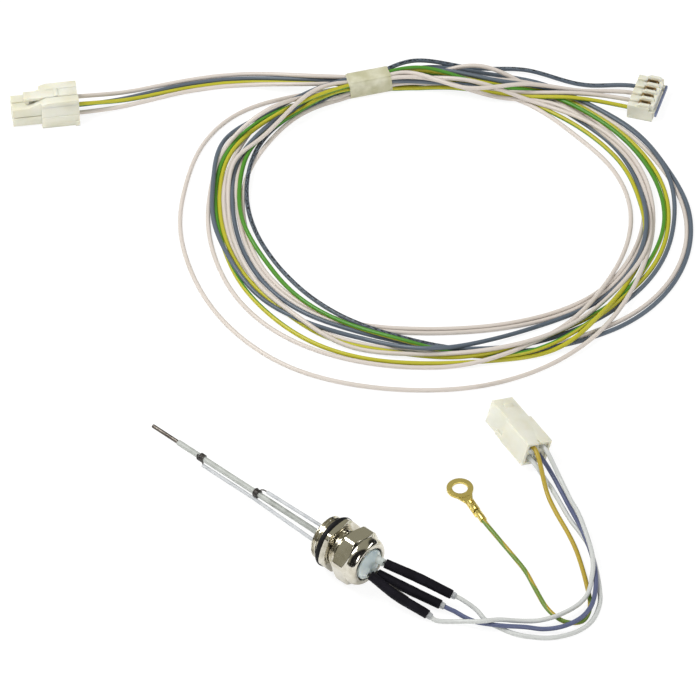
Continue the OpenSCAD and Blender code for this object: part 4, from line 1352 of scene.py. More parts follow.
    def settled(self) -> Dict[Wire, Array]:
        """Lets the stacked leads push each other apart and sink until they rest.

        Returns:
            Each lead's points from the plug to the board.
        """
        lines = self.laid()
        leads = {wire: self.joined(wire, lines) for wire in Wire}
        aim = np.vstack([p for p, _, _ in leads.values()])
        fixed = np.concatenate([h for _, h, _ in leads.values()])
        start = np.cumsum([0] + [len(p) for p, _, _ in leads.values()])
        spans = list(zip(start[:-1], start[1:]))
        owner = np.concatenate([np.full(b - a, k) for k, (a, b) in enumerate(spans)])
        free = np.ones(len(aim))
        bases, solvers = [], []
        for (a, b), (_, held, real) in zip(spans, leads.values()):
            free[a:b] = 1 - smoothed((held | real).astype(float), 8)
            base = self._spline(b - a)
            weighted = (base * np.where(held, 12.0, 1.0)[:, None]).T
            bases.append(base)
            solvers.append(np.linalg.solve(weighted @ base + 1e-6 * np.eye(base.shape[1]), weighted))
        x = aim.copy()
        x[:, 2] = LEAD_REST + self.squeeze * np.tanh((x[:, 2] - LEAD_REST) / self.squeeze)
        x[fixed] = aim[fixed]
        count = len(x)
        for turn in range(self.rounds):
            if turn % 10 == 0:
                i, j = self.pairs(x, self.reach)
                apart = (owner[i] != owner[j]) | (np.abs(i - j) > self.own_reach)
                i, j = i[apart], j[apart]
            if turn % 20 == 0:
                high = np.clip(x[:, 2] - self.layer, 0, self.stack)
                for a, b in spans:
                    high[a:b] = smoothed(high[a:b], 7)
                goal = aim[:, :2] - (high * self.lean * free)[:, None] * self.back
            gap = x[j] - x[i]
            far = np.maximum(np.linalg.norm(gap, axis=1), 1e-6)
            into = LEAD_D - far
            hit = into > 0
            p, q = i[hit], j[hit]
            push = gap[hit] / far[hit][:, None] * (into[hit] * 0.5)[:, None]
            move = np.stack([np.bincount(q, push[:, k], count) - np.bincount(p, push[:, k], count)
                             for k in range(3)], 1)
            touches = np.bincount(p, minlength=count) + np.bincount(q, minlength=count)
            move *= 1.6 / np.maximum(touches, 1)[:, None] ** 0.5
            move[:, :2] += (goal - x[:, :2]) * self.pull
            move[:, 2] += np.maximum(LEAD_REST - x[:, 2], 0) * 1.2 - self.sink
            move = np.where(fixed[:, None], aim - x, move)
            for (a, b), base, solver in zip(spans, bases, solvers):
                x[a:b] = base @ (solver @ (x[a:b] + move[a:b]))
        x[:, 2] = np.maximum(x[:, 2], LEAD_REST)
        return {wire: x[a:b] for wire, (a, b) in zip(leads, spans)}


@dataclass
class Harness:
    """The four long leads of the extension harness, and the real length of each in metres."""

    lay: CoilLay = field(default_factory=CoilLay)
    maker: LeadMaker = field(default_factory=LeadMaker)
    length: float = 1.66
    printed: Dict[Wire, Tuple[Pair, ...]] = field(
        default_factory=lambda: {Wire.GREY: ((300, 118), (104, 14))})
    leads: Dict[Wire, Tuple[Object, Array]] = field(default_factory=dict)

    def build(self) -> None:
        """Lays and sweeps the leads."""
        for k, (wire, path) in enumerate(self.lay.settled().items()):
            path = even(path, 1.0)
            nodes = ["left_tail_" + wire.label, "right_tail_" + wire.label, "harness_coil"]
            made = self.maker.make("harness_lead_" + wire.label, path, wire.finish, nodes, 1.0 + 1.7 * k,
                                   printed=self.printed.get(wire, ()))
            self.leads[wire] = (made, path)
            log.info("harness %s lead: %.0f mm", wire.label, run_length(path))

    def declare(self, connector: Sequence[Object]) -> None:
        """Works out each lead's points in metres and lists the connector's pieces, keeping none of them."""
        for wire, (piece, path) in self.leads.items():
            [MM * c for c in path[4]]
            [[MM * c for c in p] for p in path]
            list(connector)


# Ends of the three shrink sleeves, by the electrode that each joins
SHRINKS: Dict[str, Tuple[Place, Place]] = {
    "a": ((17.5, -3, -0.7), (39.7, 1.3, -7.8)),
    "b": ((17.5, 0.1, -2.1), (40.2, 7.2, -7.2)),
    "c": ((17.5, 2.1, 2.1), (41.3, 11.6, -5)),
}
# Where each electrode lies in y and z from the potting back to the kink, and the kink's station
FRONTS: Dict[str, Pair] = {"a": (-3.5, -1.1), "b": (1.7, -3.2), "c": (0.9, 2.3)}
KINK_X = 2.9
STUB_LEN, SPLICE_LEN, FERRULE_LEN, END_OVERLAP = 10.0, 8.0, 3.5, 2.0
LEAD_ROUTES: Dict[str, List[Place]] = {
    "a": [(47.2, 5.4, -9), (51.3, 7.6, -7.8), (55.8, 9.7, -6.2), (59.6, 14.4, -6.4),
          (63.8, 19, -7.6), (68.4, 23.2, -7.7), (71.8, 28.4, -7.5), (73.8, 35.6, -7.7), (74, 41, -7.7),
          (72.6, 45.9, -7.5), (70, 50.2, -6.9), (67.2, 54.2, -6.1), (62.9, 58.6, -5.9), (57.7, 62.7, -5.9),
          (51.8, 66.9, -5.9), (46.3, 70.7, -6.7), (40.7, 73.9, -7.6), (34.9, 77.3, -7.8), (30.2, 79.9, -7.4)],
    "b": [(45, 8.9, -8.4), (49.2, 9.6, -9), (53.4, 10.6, -9), (58.4, 12.1, -7.8), (62.6, 14.6, -7.5),
          (67.6, 18.8, -7.8), (72.3, 22.8, -8.6), (76.8, 27.4, -7.7), (78.8, 33.8, -7.5), (78.3, 39.2, -7.5),
          (76.6, 43.4, -7.6), (73.4, 48.3, -7.8), (69.9, 52.5, -7.6), (66.8, 55.5, -7.6), (62, 59.4, -7.5),
          (56.7, 63.1, -7.5), (51.5, 66.3, -7.5), (45.9, 69.7, -8.3), (39.6, 73.4, -9.2), (33, 77, -9.2),
          (28, 79.6, -8.9)],
    "c": [(49.8, 14.2, -8.2), (55.4, 13.2, -9.2), (60.4, 13.8, -9.2), (65.2, 14.8, -9.2),
          (70, 17, -9.2), (76.5, 22, -9.2), (80.9, 29.6, -9.2), (81.5, 37, -9.2), (78.4, 44.5, -9.2),
          (74.1, 49.6, -9.2), (69.1, 54.3, -9.2), (63.7, 58.8, -9.2), (57.8, 62.9, -9.2), (51.6, 65.6, -9.2),
          (45.8, 67.8, -9.2), (39.6, 70.8, -9.2), (33.7, 73.8, -9.2), (28.8, 76, -9.2)],
    "earth": [(29.5, 46, -9.1), (36, 44, -9.2), (43, 41.8, -9.2), (50.2, 39.3, -9.2), (57.6, 35.5, -9.2),
              (65.8, 31.5, -9.2), (72.4, 30.2, -9.2), (76.4, 31.2, -9.2), (79, 34, -9.2), (79, 37, -9.2),
              (77.6, 40.2, -9.2), (75.2, 43.3, -9.2), (71.2, 46.9, -9.2), (64.6, 52.3, -9.2),
              (56.4, 58.3, -9.2), (48.7, 62.8, -9.2), (39, 67.6, -8.9), (31.5, 71.8, -7.6)],
}


def shrink_line(key: str) -> Tuple[Array, Array, Array]:
    """A shrink sleeve's start, end and direction."""
    start, end = (np.array(p, float) for p in SHRINKS[key])
    return start, end, unit(end - start)


@dataclass
class TerminalSizes:
    """The ring terminal on the earth lead."""

    at: Pair = (7.5, 54.4)
    heading: float = -22.0
    eye: float = 9.2
    hole: float = 5.4
    sheet: float = 0.8
    neck: float = 2.6
    neck_len: float = 3.2
    barrel_len: float = 4.8
    grip_gap: float = 0.8
    grip_len: float = 4.4
    grip_clear: float = 0.02

    @property
    def barrel_x(self) -> float:
        """Where the wire's barrel starts."""
        return self.eye / 2 + self.neck_len

    @property
    def grip_x(self) -> float:
        """Where the grip on the insulation starts."""
        return self.barrel_x + self.barrel_len + self.grip_gap

    @property
    def grip_r(self) -> float:
        """Radius at the middle of the grip's sheet."""
        return LEAD_D / 2 + self.grip_clear + self.sheet / 2

    def pose(self) -> Pose:
        """Where its frame lies."""
        return Pose((*self.at, SURFACE_Z), self.heading)


@dataclass
class Pigtail:
    """The probe's own four leads."""

    maker: LeadMaker = field(default_factory=LeadMaker)
    terminal: TerminalSizes = field(default_factory=TerminalSizes)
    twist_end: float = 78.0
    leads: Dict[str, Tuple[Object, Array]] = field(default_factory=dict)

    def lead_start(self, key: str) -> List[Array]:
        """A lead's straight start: in the terminal's grip, or in its shrink sleeve and end tube."""
        if key == "earth":
            t = self.terminal
            return [t.pose().at((x, 0, t.grip_r)) for x in (t.grip_x - 0.4, t.grip_x + t.grip_len + 1.2)]
        a, b, d = shrink_line(key)
        return [a + d * (STUB_LEN + SPLICE_LEN - END_OVERLAP), b, b + d * FERRULE_LEN]

    def build(self) -> None:
        """Sweeps the four leads along their routes."""
        for key, node, finish, place, seed in (
                ("a", "lead_white_a", Finishes.white_cool, (1, 1), 2.0),
                ("b", "lead_grey", Finishes.grey_blue, (1, -1), 0.4),
                ("c", "lead_white_b", Finishes.white_cool, (-1, -1), 3.1),
                ("earth", "earth_lead", Finishes.earth_warm, (-1, 1), 2.2)):
            route = [np.array(p) for p in LEAD_ROUTES[key]]
            path = curve(self.lead_start(key) + route + SOCKET.lead_end(*place), 1.0, LEAD_REST)
            made = self.maker.make("pigtail_" + node, path, finish, [node], seed, self.twist)
            self.leads[key] = (made, path)
            log.info("pigtail %s lead: %.0f mm", key, run_length(path))

    def twist(self, run: Array) -> Array:
        """The stripe's angle: it turns fast near the ring terminal and then lies underneath."""
        return np.where(run < self.twist_end, 0.9 + 1.0 * np.sin(run / 2.6), 3.0)

    def declare(self, socket: Object, ring: Object) -> None:
        """Works out each lead's points in metres, the earth lead's in reverse order, and keeps none of them.
        """
        for key, (piece, path) in self.leads.items():
            earth = key == "earth"
            line = path[::-1] if earth else path
            [MM * c for c in line[0]]
            [[MM * c for c in p] for p in line]


# ---- gland ----


@dataclass
class Lathe:
    """Rings of points round the gland's axis."""

    first: float = 0.0
    count: int = 96

    def angles(self) -> Array:
        """The angle of each point, in degrees from Y towards Z."""
        return self.first + np.arange(self.count) * 360 / self.count

    def ring(self, x: float, r: Radius) -> Array:
        """A ring at a station, round or with a radius for each point."""
        a = np.radians(self.angles())
        r = np.broadcast_to(np.asarray(r, float), a.shape)
        return np.stack([np.full(a.shape, x), r * np.cos(a), r * np.sin(a)], 1)

    def hexagon(self, flats: float, trim: float = 0.965) -> Array:
        """Radius of a hexagon with its corners turned down, one corner at the first angle."""
        off = (self.angles() - self.first) % 60 - 30
        corner = flats / 2 / math.cos(math.pi / 6) * trim
        return np.minimum(flats / 2 / np.cos(np.radians(off)), corner)

    def thread(self, x: float, major: float, pitch: float, depth: float) -> Array:
        """Radius of a helical thread at a station."""
        turn = (x / pitch - self.angles() / 360) % 1
        off = np.abs(turn - 0.5) * 2
        return major - depth * np.clip((off - 0.14) / 0.6, 0, 1)


@dataclass
class GlandBody:
    """The gland's body: mounting thread, hexagon, threaded neck and clamping fingers."""

    thread_d: float = 16.0
    thread_len: float = 5.4
    pitch: float = 1.5
    relief: float = 1.7
    bore: float = 11.2
    inner: float = 12.4
    flats: float = 18.0
    flange: float = 2.3
    corner: float = 4.0
    neck: float = 14.4
    neck_end: float = 9.0
    step_x: float = 3.0
    finger_end: float = 11.2
    fingers: int = 8

    def build(self) -> None:
        """Makes the body."""
        lathe = Lathe(self.corner, 120)
        ring, thread, hexagon = lathe.ring, lathe.thread, lathe.hexagon(self.flats)
        bore, inner, mount, neck = self.bore / 2, self.inner / 2, self.thread_d / 2, self.neck / 2
        rows = [ring(0.15 - self.thread_len, bore), ring(-self.thread_len, bore + 0.15)]
        for x in np.arange(-self.thread_len, -self.relief + 0.01, 0.1):
            cone = mount - 0.75 + (x + self.thread_len) * 1.2
            rows.append(ring(x, np.minimum(thread(x, mount, self.pitch, 0.9), cone)))
        rows += [ring(0.12 - self.relief, mount - 0.3), ring(0, mount - 0.3)]
        for x in np.r_[np.arange(0, 0.46, 0.09), np.arange(self.flange - 0.54, self.flange + 0.01, 0.09)]:
            edge = self.flats / 2 - 0.25 + min(x, self.flange - x) * 2.4
            rows.append(ring(x, np.minimum(hexagon, edge)))
        rows += [ring(self.flange, neck - 0.7), ring(self.flange + 0.5, neck - 0.7)]
        for x in np.arange(self.flange + 0.6, self.neck_end - 0.3, 0.12):
            rows.append(ring(x, thread(x, neck, self.pitch, 0.7)))
        rows += [ring(self.neck_end, neck - 0.6), ring(self.neck_end, inner),
                 ring(self.step_x, inner), ring(self.step_x, bore)]
        shape = Shape().grid(rows, loop=True)
        for k in range(self.fingers):
            self._finger(shape, 360 / self.fingers * (k + 0.5))
        make("gland_body_threaded", shape, Finishes.nickel, ["gland_body"], sharp=28)

    def _finger(self, shape: Shape, middle: float) -> None:
        """Adds one clamping finger, thinner towards its tip."""
        half = 180 / self.fingers - 4
        a = np.radians(np.linspace(middle - half, middle + half, 9))
        rows = []
        for x, out, thick in ((8.7, 6.9, 0.6), (10.2, 6.95, 0.65), (11.0, 6.8, 0.5),
                              (self.finger_end, 6.6, 0.3)):
            rows.append([(x, r * np.cos(t), r * np.sin(t))
                         for r, span in ((out, a), (out - thick, a[::-1])) for t in span])
        shape.grid(rows, caps=True)


@dataclass
class DomeNut:
    """The dome nut that squeezes the fingers."""

    start: float = 5.8
    hex_end: float = 11.5
    end: float = 14.8
    flats: float = 18.0
    corner: float = 46.5
    waist: float = 17.64
    mouth: float = 12.3
    rim: float = 0.25
    bore: float = 15.0
    shoulder: float = 12.3

    def build(self) -> None:
        """Makes the nut."""
        lathe = Lathe(self.corner, 120)
        ring, hexagon = lathe.ring, lathe.hexagon(self.flats)
        bore, mouth, tail = self.bore / 2, self.mouth / 2, self.mouth / 2 + 0.65
        rows = [ring(self.start + 0.2, bore), ring(self.start, bore + 0.2)]
        for x in np.arange(0, 0.5, 0.08):
            rows.append(ring(self.start + x, np.minimum(hexagon, self.flats / 2 - 0.3 + x * 2.6)))
        for x in np.r_[np.arange(self.start + 0.6, self.hex_end - 1.1, 0.8),
                       np.arange(self.hex_end - 1.0, self.hex_end + 0.01, 0.08)]:
            rows.append(ring(x, np.minimum(hexagon, 8.75 + (self.hex_end - x) * 1.5)))
        for a in np.radians(np.arange(4, 91, 5)):
            rows.append(ring(self.hex_end + 0.06 + (self.end - self.hex_end - 0.06) * math.sin(a),
                             tail + (self.waist / 2 - tail) * math.cos(a) ** 0.9))
        rows += [ring(self.end, mouth + self.rim), ring(self.end - 0.08, mouth + 0.07),
                 ring(self.end - self.rim, mouth), ring(self.shoulder, mouth), ring(self.shoulder, bore)]
        make("dome_nut_polished", Shape().grid(rows, loop=True), Finishes.nickel, ["dome_nut"],
             body="nut", sharp=24)


@dataclass
class GlandInsides:
    """The sealing ring, the potting and the squeezed insert."""

    ring_r: float = 8.5
    section: float = 2.0
    resin_r: float = 5.58
    resin_front: float = -4.3
    insert: float = 12.36
    insert_neck: float = 11.1
    mouth_r: float = 5.55
    bulge: float = 1.2
    collar_x: float = 15.6

    def build(self) -> None:
        """Makes the three pieces."""
        self.sealing_ring()
        self.potting()
        self.sealing_insert()
        dress("slip_ring", Finishes.slip)

    def sealing_ring(self) -> None:
        """The rubber ring in front of the seat, a little flattened."""
        lathe, half = Lathe(0, 120), self.section / 2
        rows = [lathe.ring(-half - 0.02 + half * math.cos(a), self.ring_r + 0.86 * math.sin(a))
                for a in np.arange(24) * 2 * math.pi / 24]
        make("sealing_ring", Shape().grid(rows, loop=True), Finishes.rubber, ["o_ring"])

    def potting(self) -> None:
        """The cast resin that holds the electrodes, drawn up a little at each of them and at the wall."""
        lathe, wall = Lathe(0, 96), self.resin_r
        a = np.radians(lathe.angles())
        rows = [lathe.ring(KINK_X, 0.05), lathe.ring(KINK_X, wall)]
        for r in np.r_[np.linspace(wall, 5.0, 4), np.linspace(4.8, 0.15, 22)]:
            y, z = r * np.cos(a), r * np.sin(a)
            lift = 0.5 * math.exp(-(wall - r) / 0.35)
            for key, size in (("b", 1.0), ("a", 0.62), ("c", 0.62)):
                ey, ez = FRONTS[key]
                lift = lift + 0.6 * np.exp(-np.maximum(np.hypot(y - ey, z - ez) - size, 0) / 0.3)
            ring = lathe.ring(0, r)
            ring[:, 0] = self.resin_front - np.minimum(lift, 0.75) + 0.05 * np.sin(3 * y + z)
            rows.append(ring)
        make("potting_resin", Shape().grid(rows, caps=True), Finishes.resin, ["potting_plug"])

    def sealing_insert(self) -> None:
        """The rubber insert, swollen out of the nut's mouth with a collar at each sleeve."""
        lathe, back = Lathe(0, 96), self.insert / 2
        a = np.radians(lathe.angles())
        rows = [lathe.ring(3.05, 0.1), lathe.ring(3.05, back), lathe.ring(11.0, back),
                lathe.ring(11.3, self.insert_neck / 2 + 0.2)]
        collars = []
        for key, height in (("b", 1.0), ("a", 1.3), ("c", 1.1)):
            start, end = np.array((KINK_X, *FRONTS[key])), shrink_line(key)[0]
            place = start + (end - start) * (self.collar_x - KINK_X) / (end[0] - KINK_X)
            collars.append((*place[1:], height))
        radii = np.r_[[self.mouth_r] * 2, np.linspace(5.5, 4.6, 5), np.linspace(4.3, 0.1, 22)]
        for k, r in enumerate(radii):
            y, z = r * np.cos(a), r * np.sin(a)
            share = r / self.mouth_r
            lift = self.bulge * (1 - share ** 2.6) + 0.16 * np.cos(8 * a) * share ** 3
            for ey, ez, height in collars:
                away = np.maximum(np.hypot(y - ey, z - ez) - 0.9, 0)
                lift = lift + height * np.exp(-(away / 0.75) ** 2)
            ring = lathe.ring(0, r)
            ring[:, 0] = (14.75 if k else 14.2) + (lift if share < 0.999 else 0)
            rows.append(ring)
        make("sealing_insert_swollen", Shape().grid(rows, caps=True), Finishes.silicone,
             ["sealing_insert"], sharp=60)


def dress(node: str, finish: Finish) -> None:
    """Gives a CAD node that stays in view its finish."""
    paint_over(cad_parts[node], finish)
    log.info("%s: kept and dressed", node)


# ---- electrodes ----


def rounded(points: Points, radius: float, step: float) -> Array:
    """A path of straight runs with its corners rounded.

    Args:
        points: Its corners.
        radius: How far before and after a corner the bend starts.
        step: Distance between the points that come back.

    Returns:
        Points along the path.
    """
    p = [np.array(q, float) for q in points]
    out = [p[0]]
    for a, b, c in zip(p[:-2], p[1:-1], p[2:]):
        r = min(radius, np.linalg.norm(b - a) / 2, np.linalg.norm(c - b) / 2)
        start, end = b + unit(a - b) * r, b + unit(c - b) * r
        for t in np.linspace(0, 1, 7):
            out.append((1 - t) ** 2 * start + 2 * t * (1 - t) * b + t * t * end)
    return even(out + [p[-1]], step)


@dataclass
class Electrodes:
    """The three electrodes with their sleeves and bindings."""

    long_reach: float = 85.6
    bare_tip: float = 11.8
    long_d: float = 1.4
    sleeve_d: float = 2.0
    wire_d: float = 0.5
    thin_sleeve_d: float = 1.25
    middle_reach: float = 62.7
    short_reach: float = 37.5
    turns: int = 4
    long_tip: Pair = (0.2, -1.2)
    short_rise: Place = (4.5, 1.2, 1.25)
    bend_x: float = -5.9
    sleeve_end_x: float = 1.5
    sleeve_step: float = 1.5

    def along_long(self, x: float) -> Array:
        """A point of the long electrode's line at a station."""
        t = (x - self.bend_x) / (-self.long_reach - self.bend_x)
        (y, z), (tip_y, tip_z) = FRONTS["b"], self.long_tip
        return np.array([x, y + t * (tip_y - y), z + t * (tip_z - z)])

    def rear(self, key: str) -> List[Array]:
        """The path from the bend in front of the thread to the stub in the shrink sleeve."""
        start, _, way = shrink_line(key)
        bend, kink = (np.array((x, *FRONTS[key])) for x in (self.bend_x, KINK_X))
        return [bend, kink, start, start + way * STUB_LEN]

    def sleeve_rear(self, key: str) -> List[Place]:
        """The last corners of an insulating sleeve."""
        return [(x, *FRONTS[key]) for x in (self.bend_x, self.sleeve_end_x)]

    def binding(self, reach: float, side: Array) -> Array:
        """Turns of a thin wire round the long electrode's sleeve, ending at its hold point.

        Args:
            reach: Where the binding is.
            side: Direction from the long electrode to the wire's hold point.

        Returns:
            Points along the turns, from the cut end to the hold point.
        """
        r = self.sleeve_d / 2 + self.wire_d / 2 + 0.02
        pitch = self.wire_d * 0.98
        half = (self.turns - 1) / 2 * pitch
        axis = unit(self.along_long(-reach - 1) - self.along_long(-reach))
        other = np.cross(axis, side)
        points = []
        for t in np.linspace(self.turns + 0.35, 0, 150):
            a = 2 * math.pi * t
            out = r + 0.55 * max(t - self.turns - 0.1, 0) / 0.25
            centre = self.along_long(-reach + half + 0.2) + axis * pitch * t
            points.append(centre + out * (side * math.cos(a) + other * math.sin(a)))
        return np.array(points)

    def build(self) -> None:
        """Makes the three electrodes and their sleeves."""
        self.long()
        side = unit(np.array([0, -1.1, -1.7]))
        offset = (self.sleeve_d / 2 + self.wire_d + self.thin_sleeve_d / 2 + 0.1) * side
        line = [self.along_long(x) + offset for x in (1.2 - self.middle_reach, -self.short_reach - 1)]
        self.thin("middle", "a", self.binding(self.middle_reach, side), line, line)
        turns = self.binding(self.short_reach, np.array([0, 0, 1.0]))
        tip = np.array([-self.short_reach, 0, 0]) + self.short_rise
        rise = [turns[-1] + np.array([0.6, 0.05, 1.5]), tip + np.array([-1.4, 0, 0.1]), tip]
        self.thin("short", "c", turns, rise, [tip])

    def long(self) -> None:
        """The long electrode, its end rounded off, and its sleeve."""
        line = rounded([self.along_long(-self.long_reach)] + self.rear("b"), 1.2, 0.7)
        first = line[1] - line[0]
        tip = np.array([0.45, 0.9, 1.0]) * self.long_d / 2
        radius = np.r_[tip, np.full(len(line) - 1, self.long_d / 2)]
        line = np.vstack([line[0], line[0] + first * 0.15, line[0] + first * 0.45, line[1:]])
        make("long_electrode_rod", Shape().tube(line, radius, 24), Finishes.probe, ["long_electrode"])
        sleeve = [self.along_long(self.bare_tip - self.long_reach)] + self.sleeve_rear("b")
        self.sleeve("long", rounded(sleeve, 1.2, self.sleeve_step), self.sleeve_d, self.long_d,
                    Finishes.sleeving)

    def thin(self, label: str, key: str, turns: Array, wire: List[Array],
             sleeve: List[Array]) -> None:
        """One thin electrode: its binding, its wire and its sleeve.

        Args:
            label: The electrode's name.
            key: The joint that it runs to.
            turns: Its binding.
            wire: Where the wire goes between the binding and the bend at the gland.
            sleeve: The same for its sleeve.
        """
        run = rounded([turns[-1]] + wire + self.rear(key), 0.6, 0.5)
        make(label + "_electrode_wire", Shape().tube(np.vstack([turns, run[1:]]), self.wire_d / 2, 10),
             Finishes.wire, [label + "_electrode"], sharp=60)
        path = rounded(sleeve + self.sleeve_rear(key), 1.0, self.sleeve_step)
        self.sleeve(label, path, self.thin_sleeve_d, self.wire_d, Finishes.thin_sleeving)

    def sleeve(self, label: str, path: Array, outer: float, wire: float, finish: Finish) -> None:
        """One insulating sleeve over a wire, a touch uneven as drawn tube is."""
        run = np.arange(len(path)) * self.sleeve_step
        radius = outer / 2 * (1 + 0.012 * np.sin(run / 5.1) + 0.01 * np.sin(run / 2.3 + 1))
        make(label + "_sleeve_tube", Shape().pipe(path, radius, (wire + 0.1) / 2, 20), finish,
             [label + "_sleeve"], sharp=50)


@dataclass(frozen=True)
class JointLay:
    """How the sleeves of one joint lie."""

    clear_beyond: float
    flare: float
    shrink_cut: float
    bow: Place


@dataclass
class Joints:
    """The sleeves where the electrodes meet the leads."""

    outer: float = 3.2
    wall: float = 0.3
    clear_start: float = 5.1
    clear_d: float = 2.2
    clear_bore: float = 1.5
    flare_x: float = 13.5
    lays: Dict[str, JointLay] = field(default_factory=lambda: {
        "a": JointLay(-0.5, 0.0, 0.2, (-0.25, -0.75, -0.1)),
        "b": JointLay(0.1, 0.1, 0.6, (0, -0.2, 0)),
        "c": JointLay(1.6, 0.28, 1.9, (0, 0.1, 0.3))})

    def build(self) -> None:
        """Makes the clear, shrink and end sleeves."""
        for k, (key, lay) in enumerate(self.lays.items()):
            self.clear(key, lay)
            self.shrink(key, lay, k)
            self.end_tube(key)
            dress("splice_" + key, Finishes.tinned)

    def clear(self, key: str, lay: JointLay) -> None:
        """The clear sleeve from the insert to the shrink sleeve."""
        start = shrink_line(key)[0]
        kink = np.array((KINK_X, *FRONTS[key]))
        way = (start - kink) / (start[0] - kink[0])
        ends = (self.clear_start, start[0] + lay.clear_beyond)
        path = even([kink + way * (x - kink[0]) for x in ends], 0.8)
        radius = self.clear_d / 2 + np.where(path[:, 0] > self.flare_x, lay.flare, 0.0)
        make("clear_sleeve_tube_" + key, Shape().pipe(path, radius, self.clear_bore / 2, 24), Finishes.clear,
             ["clear_sleeve_" + key])

    def shrink(self, key: str, lay: JointLay, seed: int) -> None:
        """The shrink sleeve, drawn in at its ends and bowed a little."""
        start, end, way = shrink_line(key)
        line = even([start + way * lay.shrink_cut, end], 0.45)
        t = np.linspace(0, 1, len(line))
        line = line + np.array(lay.bow) * np.sin(math.pi * t)[:, None] ** 1.5
        swell = (0.1 * (np.exp(-((t - 0.5) / 0.2) ** 2)) - 0.05 * np.exp(-t / 0.05)
                 - 0.06 * np.exp(-(1 - t) / 0.04))
        ripple = (0.02 * np.sin(t * 34 + seed) * np.exp(-((t - 0.5) / 0.3) ** 2)
                  + 0.012 * np.sin(t * 71 + 2 * seed))
        radius = self.outer / 2 + 0.06 + swell + ripple
        make("shrink_sleeve_tube_" + key, Shape().pipe(line, radius, self.outer / 2 - self.wall - 0.05, 32),
             Finishes.shrink, ["shrink_sleeve_" + key], sharp=55)

    def end_tube(self, key: str) -> None:
        """The short tube between the shrink sleeve and the lead."""
        _, end, way = shrink_line(key)
        path = even([end - way * END_OVERLAP, end + way * (FERRULE_LEN - END_OVERLAP)], 0.35)
        u = np.linspace(0, 1, len(path))
        radius = self.outer / 2 - self.wall - 0.03 - 0.1 * u ** 2 + 0.02 * np.sin(u * 19)
        make("end_tube_" + key, Shape().pipe(path, radius, LEAD_D / 2 + 0.02, 24), Finishes.ferrule,
             ["lead_ferrule_" + key])


# ---- fittings ----


@dataclass
class RingTerminal:
    """The crimped ring on the earth lead."""

    sizes: TerminalSizes = field(default_factory=TerminalSizes)
    wire_bore: float = 1.1

    def build(self) -> Object:
        """Makes the terminal."""
        s = self.sizes
        half, r = s.neck / 2, s.grip_r
        start, end = s.barrel_x, s.barrel_x + s.barrel_len
        grip, grip_end = s.grip_x, s.grip_x + s.grip_len
        side = [(1.5, s.eye / 2 - 0.35), (3.1, 3.1), (start - 0.6, half), (grip + 1.0, half)]
        work = Carving("ring_terminal_crimped")
        work.rod((0, 0, 0), (0, 0, s.sheet), s.eye, sides=64)
        work.plate(side + [(x, -y) for x, y in reversed(side)], (0, s.sheet * 0.75))
        work.rod((start, 0, half), (end, 0, half), s.neck)
        work.rod((grip, 0, r), (grip_end, 0, r), 2 * r)
        work.rod((0, 0, -1), (0, 0, 2), s.hole, cut=True, sides=64)
        work.rod((grip - 0.5, 0, r), (grip_end + 1, 0, r), LEAD_D + 0.06, cut=True)
        work.rod((start - 1, 0, half), (end + 0.4, 0, half), self.wire_bore, cut=True)
        work.box((start - 1, end + 0.4), (-0.12, 0.12), (half + 0.3, s.neck + 1), cut=True)
        work.box((grip - 0.3, grip_end + 0.3), (-0.1, 0.1), (r + 0.7, 2 * r + 1), cut=True)
        work.box((start + 1.6, start + 3.0), (-1.6, 1.6), (s.neck - 0.3, s.neck + 1), cut=True)
        return work.finish(s.pose(), 0.12, Finishes.brass, ["ring_terminal"])


def bore_lead(work: Carving, s: HousingSizes, y: float, z: float, start: float) -> None:
    """Cuts the way of a lead into its cavity: a wide mouth, and a narrow bore from a station."""
    work.rod((s.length - 4, y, z), (s.length + 1, y, z), 2.4, cut=True)
    work.rod((start, y, z), (s.length - 3, y, z), 1.4, cut=True, sides=20)


@dataclass
class SocketHousing:
    """The pigtail's housing, with its stepped body, four cavities and latch ramp."""

    sizes: HousingSizes = SOCKET
    nose_width: float = 8.6
    cavity: float = 3.3

    def build(self) -> Object:
        """Makes the housing."""
        s = self.sizes
        w, n, h, c = s.width / 2, self.nose_width / 2, s.height / 2, self.cavity / 2
        work = Carving("socket_housing_moulded")
        work.box((0, s.nose + 1), (-n, n), (-h, h))
        work.box((s.nose, s.length), (-w, w), (-h, h))
        work.prism([(3, h - 0.3), (3.2, h + 0.7), (4.2, h + 0.7), (5.2, h - 0.3)], (-1.6, 1.6))
        work.box((s.nose + 1.2, s.length), (w - 0.1, w + 0.25), (-0.5, 0.3))
        work.box((s.nose - 4, s.nose + 1), (-n - 0.45, -n + 0.2), (-h, -h + 2.0))
        for side in (-1, 1):
            for up in (-1, 1):
                y, z = side * s.pitch / 2, up * s.pitch / 2
                work.box((-1, s.nose + 3), (y - c, y + c), (z - c, z + c), cut=True)
                bore_lead(work, s, y, z, s.nose + 2)
        work.box((s.length - 0.9, s.length + 1), (0.5 - w + 0.6, w - 1.1), (1.1 - h, h - 1.1), cut=True)
        work.box((s.length - 1.6, s.length + 1), (-0.35, 0.35), (-h - 1, h + 1), cut=True)
        piece = work.finish(s.pose(), 0.28, Finishes.ivory, ["socket_housing"])
        dress("socket_contacts", Finishes.contact)
        return piece


